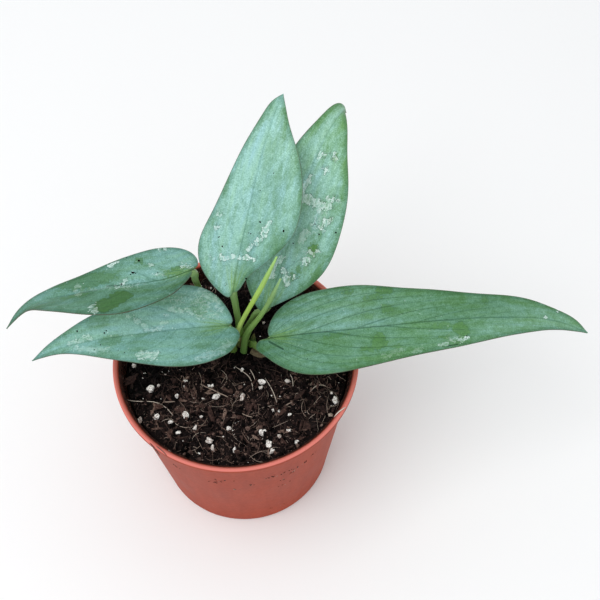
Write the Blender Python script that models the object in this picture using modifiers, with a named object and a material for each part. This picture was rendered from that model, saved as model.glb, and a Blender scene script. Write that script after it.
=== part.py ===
"""A potted scindapsus: a young silver-leaved climber in a 12 cm nursery pot.

Metres, +Z up. The origin is the middle of the pot's underside. The front of the plant, from
where its leaves are read as left and right, is -Y.
"""
import math
import random

import bmesh
import bpy
import numpy as np
from mathutils import Vector, noise

MM = 0.001
GAP = 0.3 * MM

# The pot: a thin injection-moulded nursery pot, 12 cm across its lip.
POT_HEIGHT = 100 * MM
LIP_RADIUS = 60 * MM
LIP_TOP_WIDTH = 1.2 * MM
LIP_DEPTH = 2.4 * MM
NECK_RADIUS = 57.6 * MM
BAND_DEPTH = 9.0 * MM
BAND_STEP = 0.5 * MM
BASE_RADIUS = 45.6 * MM
WALL = 1.3 * MM
FLOOR = 1.6 * MM
POT_STEPS = 56
DRAIN_HOLES = 8
DRAIN_RING_RADIUS = 33 * MM
DRAIN_HOLE_RADIUS = 4 * MM
DRAIN_HOLE_TURN = math.radians(23.3)

# The potting mix: peat and bark with perlite in it, filled to just under the band.
MIX_TOP = 91 * MM
MIX_STEPS = 42
MIX_RINGS = 8
MIX_RELIEF = 1.3 * MM
MIX_RELIEF_SCALE = 13 * MM
SEED = 7

# The larger grains of perlite as they lie: across, back, and the width of each, in mm.
LARGE_PERLITE = (
    (-42, -13, 4.0), (-29, -17, 3.2), (-10, -18, 4.2), (3, -18, 4.4), (12, -10, 3.6),
    (25, -10, 3.2), (-38, -28, 3.4), (-31, -31, 3.2), (-24, -28, 3.8), (-27, -37, 3.0),
    (-12, -41, 4.6), (-3, -35, 3.4), (0, -46, 3.0), (13, -37, 4.2), (16, -43, 3.6),
    (29, -42, 2.8), (48, -21, 4.0), (-51, 0, 3.0), (34, 22, 3.6), (-30, 30, 4.0),
)
SMALL_PERLITE = 18
BARK_CHIPS = 16

# The stem is a short rooted cutting: its crown stands in the mix, its roots run down in it.
STEM_PLACE = Vector((1.6, 12.8, 0)) * MM
STEM_FOOT = 58 * MM
STEM_TOP = 100 * MM
STEM_RADIUS = 3.0 * MM
NODE_SWELLING = 0.5 * MM
ROOT_COUNT = 6
ROOT_RADIUS = 1.5 * MM
ROOT_REACH = 27 * MM

# Blades.
BLADE_THICKNESS = 0.8 * MM
BLADE_ROWS = 24
BLADE_CELLS = 8
PETIOLE_RADII = (2.1 * MM, 1.5 * MM, 1.55 * MM, 1.85 * MM)
JOINT_LENGTH = 4 * MM
MIDRIB_RADII = (1.25 * MM, 0.3 * MM)
MIDRIB_SPAN = (0.09, 0.93)

# Each leaf as it grew, in mm. Its midrib runs from the petiole to the tip. Its outline is given on
# each side as (along the midrib, across from it), left of the midrib negative as seen from the
# petiole with the upper face up. Its upper face looks towards face, at the base and at the tip,
# and its halves rise by fold degrees. Its petiole climbs from the crown.
LEAVES = {
    "leaf_upright": dict(
        midrib=((0.7, 12.2, 138), (4, 20.5, 153), (8.5, 31.5, 168), (13.5, 45, 183),
                (19, 59, 195), (25.8, 74.3, 203)),
        left=((-2.5, -1.5), (-1, -5), (6, -12), (15, -17.5), (24, -18.8), (34, -16.7), (51, -12.6),
              (68, -8.8), (83, -5.2), (91, -3)),
        right=((1, 1.5), (7, 4.5), (17, 11), (26, 17), (35, 21.5), (47, 22.5), (59, 20.5),
               (71, 15.5), (82, 8.2), (91, 2.6)),
        face=((0, -0.75, 0.66), (0, -0.6, 0.8)), fold=10, wave=0.4,
        petiole=((1.6, 12.8, 100.35), (1.8, 12.6, 110), (1.4, 12.6, 121), (0.9, 13.4, 131)),
    ),
    "leaf_back": dict(
        midrib=((15.8, 15.4, 118), (22.5, 25.5, 137), (28, 33.5, 153), (35, 47, 172),
                (41, 57, 184), (46.8, 67, 188.5), (52, 77, 187.5), (55.5, 86, 178)),
        left=((-1, -1), (4.5, -8.5), (13.5, -14), (26, -18), (42, -18.5), (62, -15.5),
              (82, -10.6), (93, -7.4), (108, -4.5)),
        right=((5.5, 5), (17, 14.5), (28, 19.2), (46, 21.3), (60, 20.6), (74, 17.5), (88, 11.7),
               (100, 6), (110, 2)),
        face=((0.1, -0.75, 0.66), (0.15, -0.55, 0.83)), fold=12, wave=0.5,
        petiole=((4.3, 17.9, 92.2), (4.8, 17.7, 95.5), (5.9, 17.3, 100.5), (8, 16.9, 106.5),
                 (10.8, 17, 112.5)),
    ),
    "leaf_upper_left": dict(
        midrib=((-17.2, 17.2, 150), (-27.8, 10.9, 152.5), (-48, 6.4, 154), (-71, 6, 148),
                (-94.5, 9.5, 133), (-108.3, 6.8, 118)),
        left=((2, -2.5), (8, -7), (13.5, -11), (21, -14.5), (33, -18), (46.5, -15.5),
              (57.5, -11.3), (72, -7.2), (87, -2.2)),
        right=((-3.5, 1), (-5, 3.2), (-4.6, 8), (-1.2, 12), (5.5, 15.2), (14, 16.3), (30, 13.8),
               (46, 10.2), (63.5, 7.2), (84, 3.7), (97, 2.2)),
        face=((0, 0.1, 1), (0, 0, 1)), fold=14, wave=0.4,
        petiole=((-3.4, 15.4, 92.2), (-4.2, 16, 95.5), (-9.5, 20.5, 108), (-15.5, 24.2, 120),
                 (-17.1, 23.2, 130), (-16.9, 19.8, 141)),
    ),
    "leaf_lower_left": dict(
        midrib=((-2, 3, 124), (-12, 0, 128), (-26, -3, 131), (-52, -5, 129), (-79, -5, 120),
                (-96, -7, 111)),
        left=((-3.5, -2), (-4.5, -4.5), (-2.5, -8.5), (2, -13), (8.5, -16.3), (16, -18.3),
              (25, -18.5), (44.5, -14.1), (67, -7.4), (87, -1.9)),
        right=((-2.3, 2), (-2.2, 4), (0, 9), (3.5, 13.7), (8.5, 17.5), (18.5, 20.4), (32, 19.3),
               (50, 15.5), (66, 11.3), (78, 7.2), (92, 3)),
        face=((0, -0.25, 1), (0, -0.25, 1)), fold=10, wave=0.5,
        petiole=((-2, 8.6, 92), (-1.9, 7.9, 97), (-1.8, 5.9, 106.5), (-1.6, 3.9, 118)),
    ),
    "leaf_right": dict(
        midrib=((17, 3, 112), (36, 1, 119), (68, 0, 126), (100, 3, 126), (135, 10, 116),
                (160, 14, 104), (175, 13, 95)),
        left=((-1, -2.5), (0, -7), (3.5, -12), (9.5, -16), (17.5, -19), (38, -21), (66, -17.6),
              (100, -12.4), (133, -9.1), (150, -5.6), (161, -3.4)),
        right=((-6.5, 2), (-7, 4), (-3.5, 8), (3, 13), (11, 17.8), (31.5, 21.8), (51, 18.9),
               (82, 14.9), (119.5, 9.2), (150, 4.2)),
        face=((0, -0.2, 1), (0, -0.2, 1)), fold=8, wave=0.6,
        petiole=((7.2, 11.2, 92.3), (7.4, 10.9, 94), (9.5, 7, 97.5), (12.5, 3, 101.5),
                 (15.8, 1, 107)),
    ),
}

# The two new leaves, still rolled up, and what is left of old leaf sheaths at the crown, in mm.
TALL_SPEAR = ((1.1, 5.5, 107), (1.5, 5.5, 113), (3.6, 6.3, 120.5), (12.4, 9.6, 141),
              (21.7, 12.3, 166))
TALL_SPEAR_RADII = (1.1 * MM, 1.25 * MM, 1.2 * MM, 1.1 * MM, 0.3 * MM)
SHORT_SPEAR = ((3.2, 7.4, 92.1), (3.7, 8, 95.5), (6.5, 10.1, 107), (10.8, 11.6, 114),
               (14.7, 12.6, 122), (22.9, 14.1, 146))
SHORT_SPEAR_RADII = (1.95 * MM, 1.85 * MM, 1.35 * MM, 1.15 * MM, 0.95 * MM, 0.3 * MM)
GREEN_SHEATH = ((7.7, 11.4, 92.6), (8.2, 11.6, 97), (8.8, 11.3, 102.5))
GREEN_SHEATH_RADII = (2.3 * MM, 1.7 * MM, 0.15 * MM)
DRY_SHEATH = ((7.2, 7.4), (9.2, 5.8), (11.8, 4.4), (14.4, 3.6))
DRY_SHEATH_HALF_WIDTH = 1.7 * MM
DRY_SHEATH_THICKNESS = 0.7 * MM
DRY_SHEATH_CROWN = 0.9 * MM


def clear_scene():
    for item in list(bpy.data.objects):
        bpy.data.objects.remove(item, do_unlink=True)


def new_collection(name):
    made = bpy.data.collections.new(name)
    bpy.context.scene.collection.children.link(made)
    return made


def finish(name, srgb, roughness, metallic=0.0):
    """A plain material of one colour, given as sRGB hex."""
    material = bpy.data.materials.new(name)
    material.use_nodes = True
    shader = material.node_tree.nodes["Principled BSDF"]
    channels = [int(srgb[i:i + 2], 16) / 255 for i in (0, 2, 4)]
    linear = [c / 12.92 if c <= 0.04045 else ((c + 0.055) / 1.055) ** 2.4 for c in channels]
    shader.inputs["Base Color"].default_value = (*linear, 1.0)
    shader.inputs["Roughness"].default_value = roughness
    shader.inputs["Metallic"].default_value = metallic
    return material


def add_object(name, mesh, collection, material=None):
    made = bpy.data.objects.new(name, mesh)
    collection.objects.link(made)
    if material:
        mesh.materials.append(material)
    return made


def as_guide(item):
    """Marks an object that only cuts or joins another."""
    item.hide_render = True
    item.display_type = "WIRE"
    return item


def applied(item, collection):
    """The object as its modifiers leave it, or a curve as a mesh with its caps welded on."""
    bpy.context.view_layer.update()
    evaluated = item.evaluated_get(bpy.context.evaluated_depsgraph_get())
    mesh = bpy.data.meshes.new_from_object(evaluated)
    weld(mesh)
    name = item.name
    matrix = item.matrix_world.copy()
    bpy.data.objects.remove(item, do_unlink=True)
    made = add_object(name, mesh, collection)
    made.matrix_world = matrix
    return made


def weld(mesh, distance=0.00001):
    bm = bmesh.new()
    bm.from_mesh(mesh)
    bmesh.ops.remove_doubles(bm, verts=bm.verts, dist=distance)
    bm.to_mesh(mesh)
    bm.free()


def boolean(item, operation, operand):
    """A live Boolean with an object, or with every object of a collection."""
    cut = item.modifiers.new(operation.lower(), "BOOLEAN")
    cut.operation = operation
    if isinstance(operand, bpy.types.Collection):
        cut.operand_type = "COLLECTION"
        cut.collection = operand
    else:
        cut.object = operand
    return cut


def turned(name, profile, steps, collection):
    """A profile of (radius, height) points, from the top down the outer side, turned round Z."""
    mesh = bpy.data.meshes.new(name)
    points = [(radius, 0, height) for radius, height in profile]
    mesh.from_pydata(points, [(i, i + 1) for i in range(len(points) - 1)], [])
    made = add_object(name, mesh, collection)
    screw = made.modifiers.new("turn", "SCREW")
    screw.steps = steps
    screw.render_steps = steps
    screw.use_merge_vertices = True
    screw.merge_threshold = 0.00001
    return made


def smooth_path(points, count):
    """count points at even steps along a natural cubic spline through the given ones."""
    given = np.asarray(points, float)
    knots = np.concatenate([[0], np.cumsum(np.linalg.norm(np.diff(given, axis=0), axis=1))])
    gaps = np.diff(knots)
    size = len(given)
    matrix = np.eye(size)
    right = np.zeros_like(given)
    for i in range(1, size - 1):
        matrix[i, i - 1:i + 2] = gaps[i - 1], 2 * (gaps[i - 1] + gaps[i]), gaps[i]
        before = (given[i] - given[i - 1]) / gaps[i - 1]
        after = (given[i + 1] - given[i]) / gaps[i]
        right[i] = 6 * (after - before)
    bend = np.linalg.solve(matrix, right)
    fine = np.linspace(0, knots[-1], 400)
    span = np.clip(np.searchsorted(knots, fine, side="right") - 1, 0, size - 2)
    gap = gaps[span][:, None]
    a = (knots[span + 1] - fine)[:, None] / gap
    b = 1 - a
    curve = a * given[span] + b * given[span + 1]
    curve += ((a ** 3 - a) * bend[span] + (b ** 3 - b) * bend[span + 1]) * gap ** 2 / 6
    run = np.concatenate([[0], np.cumsum(np.linalg.norm(np.diff(curve, axis=0), axis=1))])
    even = np.linspace(0, run[-1], count)
    return np.stack([np.interp(even, run, curve[:, k]) for k in range(curve.shape[1])], 1)


def tapered_tube(name, points, radii, collection, resolution=2):
    """A round tube of changing radius along the points, as a closed mesh."""
    curve = bpy.data.curves.new(name, "CURVE")
    curve.dimensions = "3D"
    curve.bevel_depth = 1.0
    curve.bevel_resolution = resolution
    curve.use_fill_caps = True
    spline = curve.splines.new("POLY")
    spline.points.add(len(points) - 1)
    for target, place, radius in zip(spline.points, points, radii):
        target.co = (*place, 1)
        target.radius = radius
    made = bpy.data.objects.new(name, curve)
    collection.objects.link(made)
    return applied(made, collection)


def spread_radii(radii, count):
    """The given radii, shared out evenly along count points."""
    return np.interp(np.linspace(0, 1, count), np.linspace(0, 1, len(radii)), radii)


class Blade:
    """A leaf blade as a surface, over the distance along its midrib and the distance across."""

    FOLD_ROUNDING = 2 * MM
    WAVE_LENGTH = 38 * MM

    def __init__(self, leaf):
        self.line = smooth_path(np.array(leaf["midrib"]) * MM, 200)
        steps = np.linalg.norm(np.diff(self.line, axis=0), axis=1)
        self.run = np.concatenate([[0], np.cumsum(steps)])
        self.length = self.run[-1]
        self.heading = np.gradient(self.line, self.run, axis=0)
        self.face_base, self.face_tip = (Vector(v) for v in leaf["face"])
        self.slope = math.tan(math.radians(leaf["fold"]))
        self.wave = leaf["wave"] * MM
        tip = (self.length / MM, 0)
        self.edges = {
            side: smooth_path(((0, 0), *leaf[side], tip), 300) * MM for side in ("left", "right")
        }

    def frame(self, along):
        """The midrib's place there, its heading, the way across to the right, and the way up."""
        held = min(max(along, 0), self.length)
        place = Vector([np.interp(held, self.run, self.line[:, k]) for k in range(3)])
        heading = Vector([np.interp(held, self.run, self.heading[:, k]) for k in range(3)])
        heading.normalize()
        face = self.face_base.lerp(self.face_tip, held / self.length)
        across = heading.cross(face).normalized()
        up = across.cross(heading)
        return place + heading * (along - held), heading, across, up

    def point(self, along, side):
        place, _, across, up = self.frame(along)
        rise = self.slope * (math.hypot(side, self.FOLD_ROUNDING) - self.FOLD_ROUNDING)
        share = min(abs(side) / (18 * MM), 1) ** 2
        turn = 2 * math.pi * along / self.WAVE_LENGTH + (0 if side < 0 else 2)
        rise += self.wave * share * math.sin(turn)
        return place + across * side + up * rise

    def under(self, along, radius):
        """A place for the midrib's centre, its top sunk in the blade and its round below."""
        place, _, _, up = self.frame(along)
        return place + up * (0.25 * MM - radius)

    def edge(self, side, share):
        outline = self.edges[side]
        at = share * (len(outline) - 1)
        return [np.interp(at, range(len(outline)), outline[:, k]) for k in range(2)]


def blade_mesh(name, blade):
    """A grid laid on the blade's surface: rows run from the midrib out to the outline."""
    bm = bmesh.new()
    bmesh.ops.create_grid(bm, x_segments=BLADE_ROWS, y_segments=BLADE_CELLS, size=0.5)
    for vert in bm.verts:
        even = min(max(vert.co.x + 0.5, 0), 1)
        share = (even + (1 - math.cos(math.pi * even)) / 2) / 2
        out = 2 * vert.co.y
        edge_along, edge_side = blade.edge("left" if out < 0 else "right", share)
        mix = abs(out)
        along = (1 - mix) * share * blade.length + mix * edge_along
        vert.co = blade.point(along, mix * edge_side)
    bmesh.ops.remove_doubles(bm, verts=bm.verts, dist=0.00002)
    bmesh.ops.triangulate(bm, faces=bm.faces)
    mesh = bpy.data.meshes.new(name)
    bm.to_mesh(mesh)
    bm.free()
    return mesh


def petiole_and_midrib(name, leaf, blade, guides):
    """The leaf stalk from the crown up to the blade, running on as the rib under it."""
    count = 12
    shares = np.linspace(*MIDRIB_SPAN, count)
    rib_radii = np.linspace(*MIDRIB_RADII, count)
    rib = [blade.under(s * blade.length, r) for s, r in zip(shares, rib_radii)]
    joint = [blade.under(0, PETIOLE_RADII[-1]), blade.under(JOINT_LENGTH, PETIOLE_RADII[-1])]
    stalk = [Vector(p) * MM for p in leaf["petiole"]]
    stalk_points = smooth_path([*stalk, *joint, rib[0]], 14)[:-1]
    points = [*stalk_points, *rib]
    radii = [*spread_radii(PETIOLE_RADII, len(stalk_points)), *rib_radii]
    return as_guide(tapered_tube(name + "_stalk", points, radii, guides))


def make_leaf(name, leaf, parts, guides):
    blade = Blade(leaf)
    material = finish(name, "7FA892", 0.42)
    made = add_object(name, blade_mesh(name, blade), parts, material)
    shell = made.modifiers.new("thickness", "SOLIDIFY")
    shell.thickness = BLADE_THICKNESS
    shell.offset = 0
    boolean(made, "UNION", petiole_and_midrib(name, leaf, blade, guides))
    made.data.shade_smooth()
    return made


def make_spear(name, srgb, places, radii, parts):
    points = smooth_path(np.array(places) * MM, 14)
    made = tapered_tube(name, points, spread_radii(radii, len(points)), parts)
    made.data.materials.append(finish(name, srgb, 0.4))
    made.data.shade_smooth()
    return made


def make_pot(parts, guides):
    """Thin-walled pot: a lip turned out over the neck, a shallow band, a flat holed floor."""
    band_height = POT_HEIGHT - BAND_DEPTH
    band_radius = NECK_RADIUS - 0.6 * MM
    inner_floor_radius = BASE_RADIUS - WALL
    outside = [
        (LIP_RADIUS - 0.5 * MM, POT_HEIGHT),
        (LIP_RADIUS, POT_HEIGHT - 0.5 * MM),
        (LIP_RADIUS, POT_HEIGHT - LIP_DEPTH),
        (LIP_RADIUS - 0.4 * MM, POT_HEIGHT - LIP_DEPTH - 0.4 * MM),
        (NECK_RADIUS, POT_HEIGHT - LIP_DEPTH - 0.6 * MM),
        (band_radius, band_height),
        (band_radius - BAND_STEP, band_height - 0.6 * MM),
        (BASE_RADIUS + 0.6 * MM, 3 * MM),
        (BASE_RADIUS, 0.8 * MM),
        (BASE_RADIUS - 0.8 * MM, 0),
        (0, 0),
    ]
    inside = [
        (0, FLOOR),
        (inner_floor_radius - 1.5 * MM, FLOOR),
        (inner_floor_radius, FLOOR + 1.5 * MM),
        (NECK_RADIUS - 1.1 * MM - WALL, band_height - 0.6 * MM),
        (NECK_RADIUS - 0.5 * MM - WALL, band_height),
        (NECK_RADIUS - WALL, POT_HEIGHT - LIP_DEPTH),
        (LIP_RADIUS - LIP_TOP_WIDTH, POT_HEIGHT),
    ]
    pot = turned("pot", inside + outside, POT_STEPS, parts)
    pot.data.materials.append(finish("pot", "BE6A52", 0.5))
    for number in range(DRAIN_HOLES):
        angle = math.tau * number / DRAIN_HOLES + DRAIN_HOLE_TURN
        bpy.ops.mesh.primitive_cylinder_add(
            vertices=14, radius=DRAIN_HOLE_RADIUS, depth=6 * FLOOR,
            location=(DRAIN_RING_RADIUS * math.cos(angle), DRAIN_RING_RADIUS * math.sin(angle), 0),
            rotation=(0, 0, 0.4 * angle),
        )
        hole = bpy.context.object
        hole.name = "drain_hole_%d" % number
        move_to(hole, guides)
        boolean(pot, "DIFFERENCE", as_guide(hole))
    return pot


def move_to(item, collection):
    for holder in list(item.users_collection):
        holder.objects.unlink(item)
    collection.objects.link(item)


def mix_height(x, y):
    """The height of the potting mix there: low crumbly relief that dies out at the pot."""
    place = Vector((x, y, 0)) / MIX_RELIEF_SCALE
    relief = noise.noise(place) + 0.5 * noise.noise(place * 2.3)
    calm = min(math.hypot(x - STEM_PLACE.x, y - STEM_PLACE.y) / (16 * MM), 1)
    return MIX_TOP + MIX_RELIEF * relief * calm


def pot_inner_radius(height):
    """The radius of the pot's inside at a height below its band."""
    low = BASE_RADIUS - WALL
    high = NECK_RADIUS - 1.1 * MM - WALL
    low_height = FLOOR + 1.5 * MM
    high_height = POT_HEIGHT - BAND_DEPTH - 0.6 * MM
    return low + (high - low) * (height - low_height) / (high_height - low_height)


def mix_plug(guides):
    """The mix takes the pot's inner form, 0.3 mm clear of it all round."""
    rim = pot_inner_radius(MIX_TOP - 2 * MM) - GAP
    rings = [(rim * k / MIX_RINGS, MIX_TOP) for k in range(MIX_RINGS)]
    foot = FLOOR + 1.5 * MM
    side = [
        (rim - 0.6 * MM, MIX_TOP - 0.2 * MM),
        (rim, MIX_TOP - 2 * MM),
        (pot_inner_radius(foot) - GAP, foot + GAP),
        (pot_inner_radius(foot) - 1.5 * MM - GAP, FLOOR + GAP),
        (0, FLOOR + GAP),
    ]
    plug = applied(turned("potting_mix", rings + side, MIX_STEPS, guides), guides)
    for vert in plug.data.vertices:
        if vert.co.z > MIX_TOP - 0.1 * MM:
            vert.co.z = mix_height(vert.co.x, vert.co.y)
    return plug


def grain(name, x, y, size, draw, collection, long=1.0):
    """An angular crumb with 20 faces, turned and squashed at random, sunk in the mix."""
    bpy.ops.mesh.primitive_ico_sphere_add(subdivisions=1, radius=size / 2)
    made = bpy.context.object
    made.name = name
    made.location = (x, y, mix_height(x, y) + 0.12 * size)
    made.rotation_euler = [draw.uniform(0, math.tau) for _ in range(3)]
    if long > 1:
        made.rotation_euler = (draw.uniform(-0.3, 0.3), draw.uniform(-0.3, 0.3), draw.uniform(0, math.tau))
    made.scale = (long, draw.uniform(0.75, 1), draw.uniform(0.6, 0.9))
    move_to(made, collection)
    return made


def scatter(mix, guides):
    """Perlite and bark chips that lie on the mix, fused to it as one body."""
    draw = random.Random(SEED)
    grains = new_collection("grains")
    placed = []
    for x, y, size in LARGE_PERLITE:
        placed.append((x * MM, y * MM, size * MM))
        grain("perlite", x * MM, y * MM, size * MM, draw, grains)
    reach = pot_inner_radius(MIX_TOP) - 5 * MM
    while len(placed) < len(LARGE_PERLITE) + SMALL_PERLITE + BARK_CHIPS:
        x, y = draw.uniform(-reach, reach), draw.uniform(-reach, reach)
        chip = len(placed) >= len(LARGE_PERLITE) + SMALL_PERLITE
        size = draw.uniform(3.0, 4.2) * MM if chip else draw.uniform(1.8, 2.8) * MM
        from_stem = math.hypot(x - STEM_PLACE.x - 3 * MM, y - STEM_PLACE.y + 4 * MM)
        if math.hypot(x, y) > reach or from_stem < 17 * MM:
            continue
        if any(math.hypot(x - a, y - b) < (size + c) * 0.8 for a, b, c in placed):
            continue
        placed.append((x, y, size))
        grain("chip", x, y, size, draw, grains, long=1.5 if chip else 1.0)
    boolean(mix, "UNION", grains)
    fused = applied(mix, guides)
    for item in list(grains.objects):
        bpy.data.objects.remove(item, do_unlink=True)
    bpy.data.collections.remove(grains)
    return fused


def root_paths():
    """Roots leave the foot of the stem all round, and run down and out to the pot's floor."""
    paths = []
    for number in range(ROOT_COUNT):
        angle = math.tau * (number + 0.3 * math.sin(number * 2.4)) / ROOT_COUNT
        out = Vector((math.cos(angle), math.sin(angle), 0))
        start = Vector((STEM_PLACE.x, STEM_PLACE.y, STEM_FOOT + (5 + 1.5 * (number % 3)) * MM))
        reach = ROOT_REACH * (0.8 + 0.1 * (number % 3))
        fall = (30 + 6 * (number % 2)) * MM
        paths.append([
            start,
            start + out * 0.35 * reach - Vector((0, 0, 0.2 * fall)),
            start + out * 0.8 * reach - Vector((0, 0, 0.6 * fall)),
            start + out * reach - Vector((0, 0, 1.35 * fall)),
        ])
    return paths


def stem_profile(extra):
    """A short stem with three swollen nodes, fatter by extra all over."""
    radius = STEM_RADIUS + extra
    swollen = radius + NODE_SWELLING
    top = STEM_TOP + extra
    points = [(0, top), (radius - 0.8 * MM, top), (radius, top - 0.8 * MM)]
    for height in (70 * MM, 78 * MM, 86 * MM):
        points[3:3] = [(radius, height + 1.5 * MM), (swollen, height), (radius, height - 1.5 * MM)]
    return points + [(radius, STEM_FOOT + 1 * MM), (radius - 1 * MM, STEM_FOOT - extra),
                     (0, STEM_FOOT - extra)]


def stem_with_roots(name, extra, guides):
    """The rooted stem, or with extra its hole in the mix."""
    body = turned(name, stem_profile(extra), 16, guides)
    body.location = STEM_PLACE
    body = applied(body, guides)
    roots = new_collection(name + "_roots")
    for path in root_paths():
        points = smooth_path(path, 7)
        radii = np.linspace(ROOT_RADIUS, ROOT_RADIUS / 3, len(points)) + extra
        if extra:
            end = points[-1] - points[-2]
            points[-1] += end / np.linalg.norm(end) * extra
        tapered_tube("root", points, radii, roots, resolution=1)
    boolean(body, "UNION", roots)
    made = applied(body, guides)
    for item in list(roots.objects):
        bpy.data.objects.remove(item, do_unlink=True)
    bpy.data.collections.remove(roots)
    return made


def hole_above(guides):
    """The open top of the stem's hole, clear of the mix's relief."""
    bpy.ops.mesh.primitive_cylinder_add(
        vertices=16, radius=STEM_RADIUS + GAP, depth=16 * MM,
        location=(STEM_PLACE.x, STEM_PLACE.y, MIX_TOP),
    )
    hole = bpy.context.object
    hole.name = "stem_hole_mouth"
    move_to(hole, guides)
    return as_guide(hole)


def make_stem(parts, guides):
    stem = stem_with_roots("stem", 0, guides)
    move_to(stem, parts)
    stem.data.materials.append(finish("stem", "6B7F3A", 0.55))
    return stem


def make_mix(parts, guides):
    mix = scatter(mix_plug(guides), guides)
    move_to(mix, parts)
    mix.data.materials.append(finish("potting_mix", "2A1F1A", 0.95))
    boolean(mix, "DIFFERENCE", as_guide(stem_with_roots("stem_hole", GAP, guides)))
    boolean(mix, "DIFFERENCE", hole_above(guides))
    return mix


def make_dry_sheath(parts):
    """A dried leaf sheath, curled down along its sides, lying on the mix by the crown."""
    line = smooth_path(np.array(DRY_SHEATH) * MM, 8)
    bm = bmesh.new()
    bmesh.ops.create_grid(bm, x_segments=7, y_segments=4, size=0.5)
    for vert in bm.verts:
        share = min(max(vert.co.x + 0.5, 0), 1)
        out = 2 * vert.co.y
        at = share * (len(line) - 1)
        x, y = (np.interp(at, range(len(line)), line[:, k]) for k in range(2))
        heading = Vector(line[-1] - line[0]).normalized()
        width = DRY_SHEATH_HALF_WIDTH * (1 - 0.75 * share ** 2)
        x += -heading.y * width * out
        y += heading.x * width * out
        ground = MIX_TOP + MIX_RELIEF + 0.5 * DRY_SHEATH_THICKNESS
        lift = DRY_SHEATH_CROWN * (1 - out * out) * (1 - 0.5 * share)
        vert.co = (x, y, ground + lift)
    bmesh.ops.triangulate(bm, faces=bm.faces)
    mesh = bpy.data.meshes.new("sheath_dry")
    bm.to_mesh(mesh)
    bm.free()
    made = add_object("sheath_dry", mesh, parts, finish("sheath_dry", "A58C62", 0.8))
    shell = made.modifiers.new("thickness", "SOLIDIFY")
    shell.thickness = DRY_SHEATH_THICKNESS
    shell.offset = 0
    return made


def add_green_sheath(leaf, guides):
    """The pointed wing at the foot of the right leaf's petiole."""
    points = smooth_path(np.array(GREEN_SHEATH) * MM, 6)
    radii = spread_radii(GREEN_SHEATH_RADII, len(points))
    wing = tapered_tube("green_sheath", points, radii, guides)
    boolean(leaf, "UNION", as_guide(wing))


def build():
    clear_scene()
    parts = new_collection("potted_scindapsus")
    guides = new_collection("cutters")
    make_pot(parts, guides)
    make_mix(parts, guides)
    make_stem(parts, guides)
    for name, leaf in LEAVES.items():
        made = make_leaf(name, leaf, parts, guides)
        if name == "leaf_right":
            add_green_sheath(made, guides)
    make_spear("new_leaf_tall", "9CC23E", TALL_SPEAR, TALL_SPEAR_RADII, parts)
    make_spear("new_leaf_short", "7FA04A", SHORT_SPEAR, SHORT_SPEAR_RADII, parts)
    make_dry_sheath(parts)


build()
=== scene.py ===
"""The looks of a potted scindapsus, a young silver-leaved climber in a 12 cm nursery pot.

Metres, +Z up, with the front of the plant towards -Y. A leaf is drawn over two distances in mm:
along its midrib from the petiole, and across it, negative to the left as seen from the petiole.
"""

import functools
import math

import bmesh
import bpy
import numpy as np
from mathutils import Matrix, Vector, noise


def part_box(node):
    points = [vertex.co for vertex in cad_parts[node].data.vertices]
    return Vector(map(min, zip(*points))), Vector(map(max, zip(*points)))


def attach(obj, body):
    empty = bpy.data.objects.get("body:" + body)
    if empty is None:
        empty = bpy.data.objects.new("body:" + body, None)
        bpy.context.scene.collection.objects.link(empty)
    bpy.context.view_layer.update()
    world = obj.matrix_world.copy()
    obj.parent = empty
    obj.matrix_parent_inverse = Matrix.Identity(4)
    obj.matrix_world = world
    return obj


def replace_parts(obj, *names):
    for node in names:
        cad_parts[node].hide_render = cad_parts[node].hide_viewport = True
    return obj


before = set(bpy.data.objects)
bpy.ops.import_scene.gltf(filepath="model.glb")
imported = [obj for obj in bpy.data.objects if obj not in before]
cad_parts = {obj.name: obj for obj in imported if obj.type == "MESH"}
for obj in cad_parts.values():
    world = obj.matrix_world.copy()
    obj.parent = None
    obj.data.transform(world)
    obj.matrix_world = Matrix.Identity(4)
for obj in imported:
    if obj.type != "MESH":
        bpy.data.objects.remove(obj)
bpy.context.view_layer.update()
MM = 0.001

# Camera: it stands half a metre off, in front of the pot and a little to its right, and looks
# 57 degrees down on it, with the slight roll of a picture taken by hand.
CAMERA_PLACE = Vector((31.7, -240.9, 525.2)) * MM
CAMERA_DOWN = math.radians(57.3)
CAMERA_ROLL = math.radians(0.9)
back = Vector((0, -math.cos(CAMERA_DOWN), math.sin(CAMERA_DOWN)))
level = Vector((1, 0, 0))
upright = back.cross(level)
camera_up = upright * math.cos(CAMERA_ROLL) + level * math.sin(CAMERA_ROLL)
camera_right = level * math.cos(CAMERA_ROLL) - upright * math.sin(CAMERA_ROLL)
lens = bpy.data.cameras.new("camera")
lens.lens = 60
lens.sensor_width = 36
lens.clip_start = 0.01
camera = bpy.data.objects.new("camera", lens)
bpy.context.scene.collection.objects.link(camera)
camera.matrix_world = (
    Matrix.Translation(CAMERA_PLACE)
    @ Matrix((camera_right, camera_up, back)).transposed().to_4x4()
)
bpy.context.scene.camera = camera

# Stage: a wide pale floor under an even white sky, with one large softbox overhead to the left,
# for the soft and nearly shadowless light of an overcast day.
FLOOR_REACH = 12.0
SKY_STRENGTH = 0.78
SOFTBOX_PLACE = Vector((-0.55, -0.45, 1.5))
SOFTBOX_SIZE = 1.1
SOFTBOX_POWER = 11.0


def linear(colour):
    """An sRGB colour such as 7FA892 as linear red, green, blue and alpha."""
    channels = [int(colour[i:i + 2], 16) / 255 for i in (0, 2, 4)]
    return (*(c / 12.92 if c <= 0.04045 else ((c + 0.055) / 1.055) ** 2.4 for c in channels), 1.0)


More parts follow.
